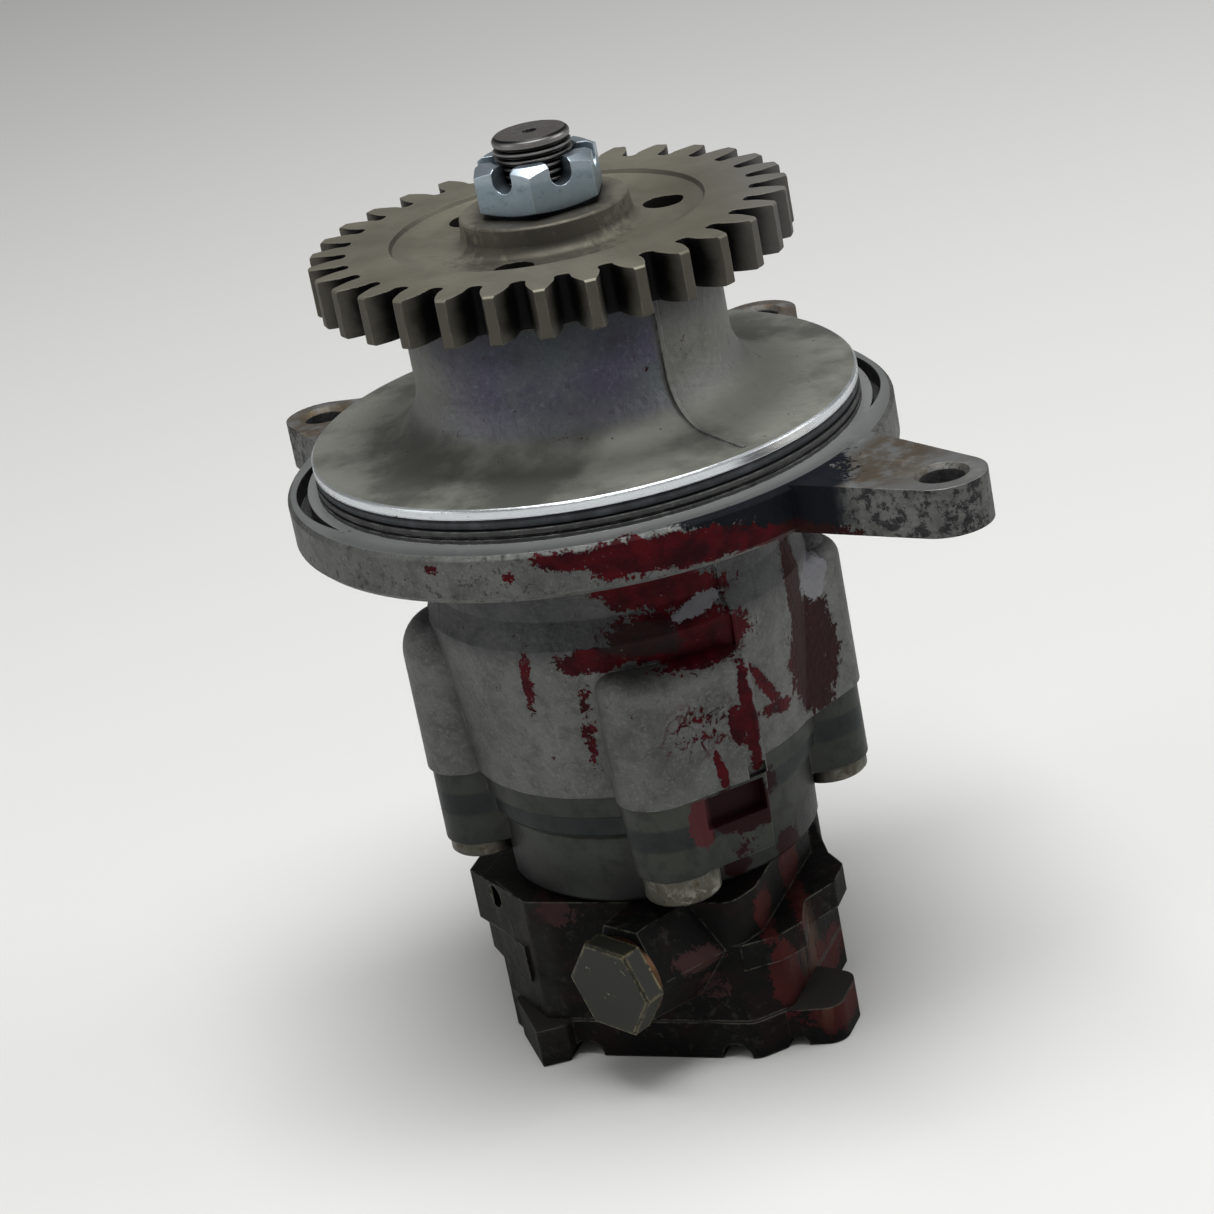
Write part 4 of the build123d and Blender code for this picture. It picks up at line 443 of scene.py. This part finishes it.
def shaft_steel():
    """Turned steel of the threaded end: painted dark shade in the thread grooves, a browned end face and
    painted highlights on its edges.
    """
    g = Graph("shaft_steel", metallic=1.0, roughness=0.34)
    spots = g.noise(2.0, 5, 0.65, 0.4)
    base = g.mix(g.noise(6, 4), srgb(112, 110, 110), srgb(156, 154, 152))
    # painted shade: the roots of the thread made near black
    groove_shade = g.mul(g.remap(g.radius(), 7.5 * MM, 7.95 * MM, 1.0, 0.0), g.remap(g.z, 50 * MM, 51 * MM))
    groove_shade = g.mul(groove_shade, g.remap(g.facing_up(), 0.85, 0.95, 1.0, 0.0))
    base = g.mix(g.mul(groove_shade, 0.92), base, srgb(16, 15, 17))
    face = g.mul(g.remap(g.facing_up(), 0.85, 0.95), g.remap(g.z, 64.5 * MM, 65.5 * MM))
    base = g.mix(g.mul(face, g.remap(spots, 0.35, 0.6)), base, srgb(118, 112, 110))
    # painted shade: darker in the corners and gaps
    base = g.mix(g.mul(g.hollows(1.6), 0.9), base, srgb(16, 16, 18))
    # painted highlight: the edges made near white
    base = g.mix(g.mul(g.edges(0.2), 0.4), base, srgb(200, 200, 200))
    g.set(Base_Color=base, Roughness=g.add(0.24, g.mul(spots, 0.3)))
    g.bump(g.add(spots, g.mul(g.noise(0.4, 3), 0.4)), 0.05, 0.7, 0.12)
    return g.material


def bolt_steel():
    """Plated screw heads, browned below, rubbed bright in places."""
    g = Graph("bolt_steel", metallic=0.9, roughness=0.42)
    spots = g.noise(3.0, 5, 0.65, 0.3)
    base = g.mix(g.noise(8, 4), srgb(64, 64, 58), srgb(92, 90, 80))
    base = g.mix(g.mul(g.remap(spots, 0.5, 0.64), 0.6), base, srgb(66, 54, 40))
    low = g.remap(g.z, -87 * MM, -84 * MM, 1.0, 0.3)
    rubbed = g.mul(g.remap(g.noise(4.0, 5, 0.7, 0.6), 0.5, 0.58), low)
    base = g.mix(g.mul(rubbed, 0.55), base, srgb(150, 148, 138))
    # painted shade: darker in the corners and gaps
    base = g.mix(g.mul(g.hollows(4), 0.85), base, srgb(22, 21, 19))
    base = g.mix(g.mul(g.edges(0.5), 0.6), base, srgb(134, 132, 120))
    g.set(Base_Color=base, Roughness=g.add(0.32, g.mul(spots, 0.3)))
    g.bump(spots, 0.12, 0.8, 0.4)
    return g.material


def plug_brass():
    """Brass hexagon under dark olive paint, which is worn through along the edges."""
    g = Graph("plug_coat", metallic=0.0, roughness=0.45, specular=0.3)
    spots, chips = g.noise(3.2, 5, 0.65, 0.4), g.noise(2.2, 5, 0.7, 0.6)
    coat = g.mix(spots, srgb(19, 21, 15), srgb(37, 38, 29))
    brass = g.mix(chips, srgb(112, 102, 72), srgb(158, 148, 114))
    rubbed = g.most(g.mul(g.edges(1.4, 0.02, 0.14), g.remap(chips, 0.4, 0.56)),
                    g.remap(g.noise(5, 4, 0.7, 1.0), 0.64, 0.69))
    g.set(Base_Color=g.mix(rubbed, coat, brass), Metallic=g.mul(rubbed, 0.85))
    g.set(Roughness=g.lerp(rubbed, g.add(0.4, g.mul(spots, 0.2)), 0.36))
    g.bump(g.sub(g.mul(spots, 0.5), g.mul(rubbed, 0.5)), 0.12, 0.8, 0.35)
    return g.material


def rubber():
    """Matt black rubber with a fine mould texture and dust."""
    g = Graph("seal_rubber", roughness=0.62, specular=0.4)
    dust = g.noise(4, 4, 0.6)
    g.set(Base_Color=g.mix(g.mul(g.remap(dust, 0.4, 0.7), 0.6), srgb(48, 52, 55), srgb(84, 88, 92)))
    g.set(Roughness=g.add(0.5, g.mul(dust, 0.25)))
    g.bump(g.noise(0.6, 4, 0.6), 0.05, 0.6)
    return g.material


def plain_metal(name, low, high, roughness):
    """Inner pieces: a clean machined metal with soft tone changes and fine turning marks."""
    g = Graph(name, metallic=1.0, roughness=roughness)
    spots = g.noise(5, 4, 0.6)
    lathe = g.noise(0.5, 2, 0.5, 0, g.stretch((0.05, 0.05, 1.0)))
    base = g.mix(spots, srgb(*low), srgb(*high))
    base = g.mix(g.mul(g.edges(0.3), 0.4), base, srgb(*(min(255, c + 30) for c in high)))
    g.set(Base_Color=base, Roughness=g.add(roughness - 0.08, g.mul(lathe, 0.18)))
    g.bump(g.add(lathe, g.mul(spots, 0.3)), 0.02, 0.6)
    return g.material


def gasket_sheet():
    """Dark pressed fibre of the gasket's edge."""
    g = Graph("gasket_fibre", roughness=0.8, specular=0.3)
    fibre = g.noise(0.7, 5, 0.7, 0, g.stretch((1.0, 1.0, 3.0)))
    g.set(Base_Color=g.mix(fibre, srgb(16, 15, 14), srgb(44, 40, 36)))
    g.bump(fibre, 0.06, 0.8)
    return g.material


bearing = plain_metal("bearing_steel", (168, 168, 168), (206, 206, 204), 0.22)
bronze = plain_metal("bronze", (150, 112, 66), (186, 146, 92), 0.34)
inner_steel = plain_metal("inner_steel", (120, 120, 120), (158, 158, 156), 0.3)
plate = plain_metal("plate_aluminium", (168, 168, 166), (198, 198, 194), 0.32)
copper = plain_metal("washer_copper", (70, 52, 40), (98, 72, 54), 0.45)
casting, cover_metal, iron = cast_housing(), cover_casting(), painted_iron()
gear_metal, zinc, shaft_metal = gear_steel(), zinc_nut(), shaft_steel()
bolt_metal, plug_metal, seal_rubber, gasket = bolt_steel(), plug_brass(), rubber(), gasket_sheet()

FINISHES = {
    "front_housing": casting, "rear_cover": cover_metal, "rear_pump_body": iron,
    "end_cover": iron, "end_cover_gasket": gasket, "drive_gear": gear_metal,
    "castle_nut": zinc, "drive_shaft": shaft_metal, "cover_bolts": bolt_metal,
    "rear_pump_screws": bolt_metal, "end_cover_screws": bolt_metal, "relief_plug": plug_metal,
    "relief_washer": copper, "pilot_o_ring": seal_rubber, "shaft_seal": seal_rubber,
    "cover_o_ring": seal_rubber, "interstage_seal": seal_rubber, "joint_o_ring": seal_rubber,
    "bearing_cage": bronze, "neck_bush": bronze, "cover_bush": bronze,
    "upper_bearing_block": bronze, "lower_bearing_block": bronze,
    "front_port_plate": plate, "rear_port_plate": plate,
    "bearing_outer_race": bearing, "bearing_inner_race": bearing, "bearing_balls": bearing,
    "inner_rotor": bearing, "outer_rotor": bearing, "rear_drive_gear": bearing,
    "rear_idler_gear": bearing, "relief_poppet": bearing, "relief_spring": bearing,
    "stack_dowels": bearing, "eccentric_ring": inner_steel, "bearing_circlip": inner_steel,
    "gear_key": inner_steel, "rotor_key": inner_steel, "coupling_sleeve": inner_steel,
}
for name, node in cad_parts.items():
    node.data.materials.clear()
    node.data.materials.append(FINISHES[name])

# ---------------------------------------------------------------- floor, light and camera
FLOOR_SIZE = 8.0


def pale_floor():
    """Plain pale floor under the pump."""
    bpy.ops.mesh.primitive_plane_add(size=FLOOR_SIZE, location=(0, 0, foot("end_cover") - 0.0002))
    floor = bpy.context.object
    floor.name = "floor"
    g = Graph("floor_paper", roughness=0.9, specular=0.2)
    g.set(Base_Color=g.mix(g.noise(900, 3), srgb(220, 220, 218), srgb(228, 228, 226)))
    floor.data.materials.append(g.material)


def soft_light(name, place, target, size, power, colour=(1, 1, 1)):
    """Square area light that looks at a target."""
    data = bpy.data.lights.new(name, "AREA")
    data.size, data.energy, data.color = size, power, colour
    lamp = bpy.data.objects.new(name, data)
    bpy.context.collection.objects.link(lamp)
    lamp.location = place
    lamp.rotation_euler = (Vector(target) - Vector(place)).to_track_quat("-Z", "Y").to_euler()


def studio():
    """Overhead soft box, a weaker one at each side, and a pale surround."""
    middle = (0, 0, -0.03)
    soft_light("key", (0.05, -0.15, 1.3), middle, 0.9, 19.0)
    soft_light("left", (-1.4, -0.3, 0.45), middle, 0.7, 3.5)
    soft_light("right", (1.4, -0.1, 0.6), middle, 0.7, 5.5)
    world = bpy.data.worlds.new("surround")
    world.use_nodes = True
    world.node_tree.nodes["Background"].inputs["Color"].default_value = (1, 1, 1, 1)
    world.node_tree.nodes["Background"].inputs["Strength"].default_value = 0.22
    bpy.context.scene.world = world
    bpy.context.scene.view_settings.view_transform = "Standard"


def camera():
    """Camera above the front of the pump, rolled, with a long lens."""
    azimuth, elevation, roll = (math.radians(a) for a in (-92.0, 21.64, 11.12))
    aim = Vector((0, 0, top("drive_gear") - 3.5 * MM))
    across, up, distance = -12.34 * MM, 78.92 * MM, 713.6 * MM
    back = Vector((math.cos(azimuth) * math.cos(elevation),
                   math.sin(azimuth) * math.cos(elevation), math.sin(elevation)))
    right = Vector((-math.sin(azimuth), math.cos(azimuth), 0))
    above = back.cross(right)
    right, above = (math.cos(roll) * right - math.sin(roll) * above,
                    math.sin(roll) * right + math.cos(roll) * above)
    data = bpy.data.cameras.new("camera")
    data.lens, data.sensor_width = 104.18, 36.0
    data.clip_end = 20.0
    eye = bpy.data.objects.new("camera", data)
    bpy.context.collection.objects.link(eye)
    place = aim - across * right - up * above + distance * back
    turn = Matrix((right, above, back)).transposed().to_4x4()
    eye.matrix_world = Matrix.Translation(place) @ turn
    bpy.context.scene.camera = eye


pale_floor()
studio()
camera()
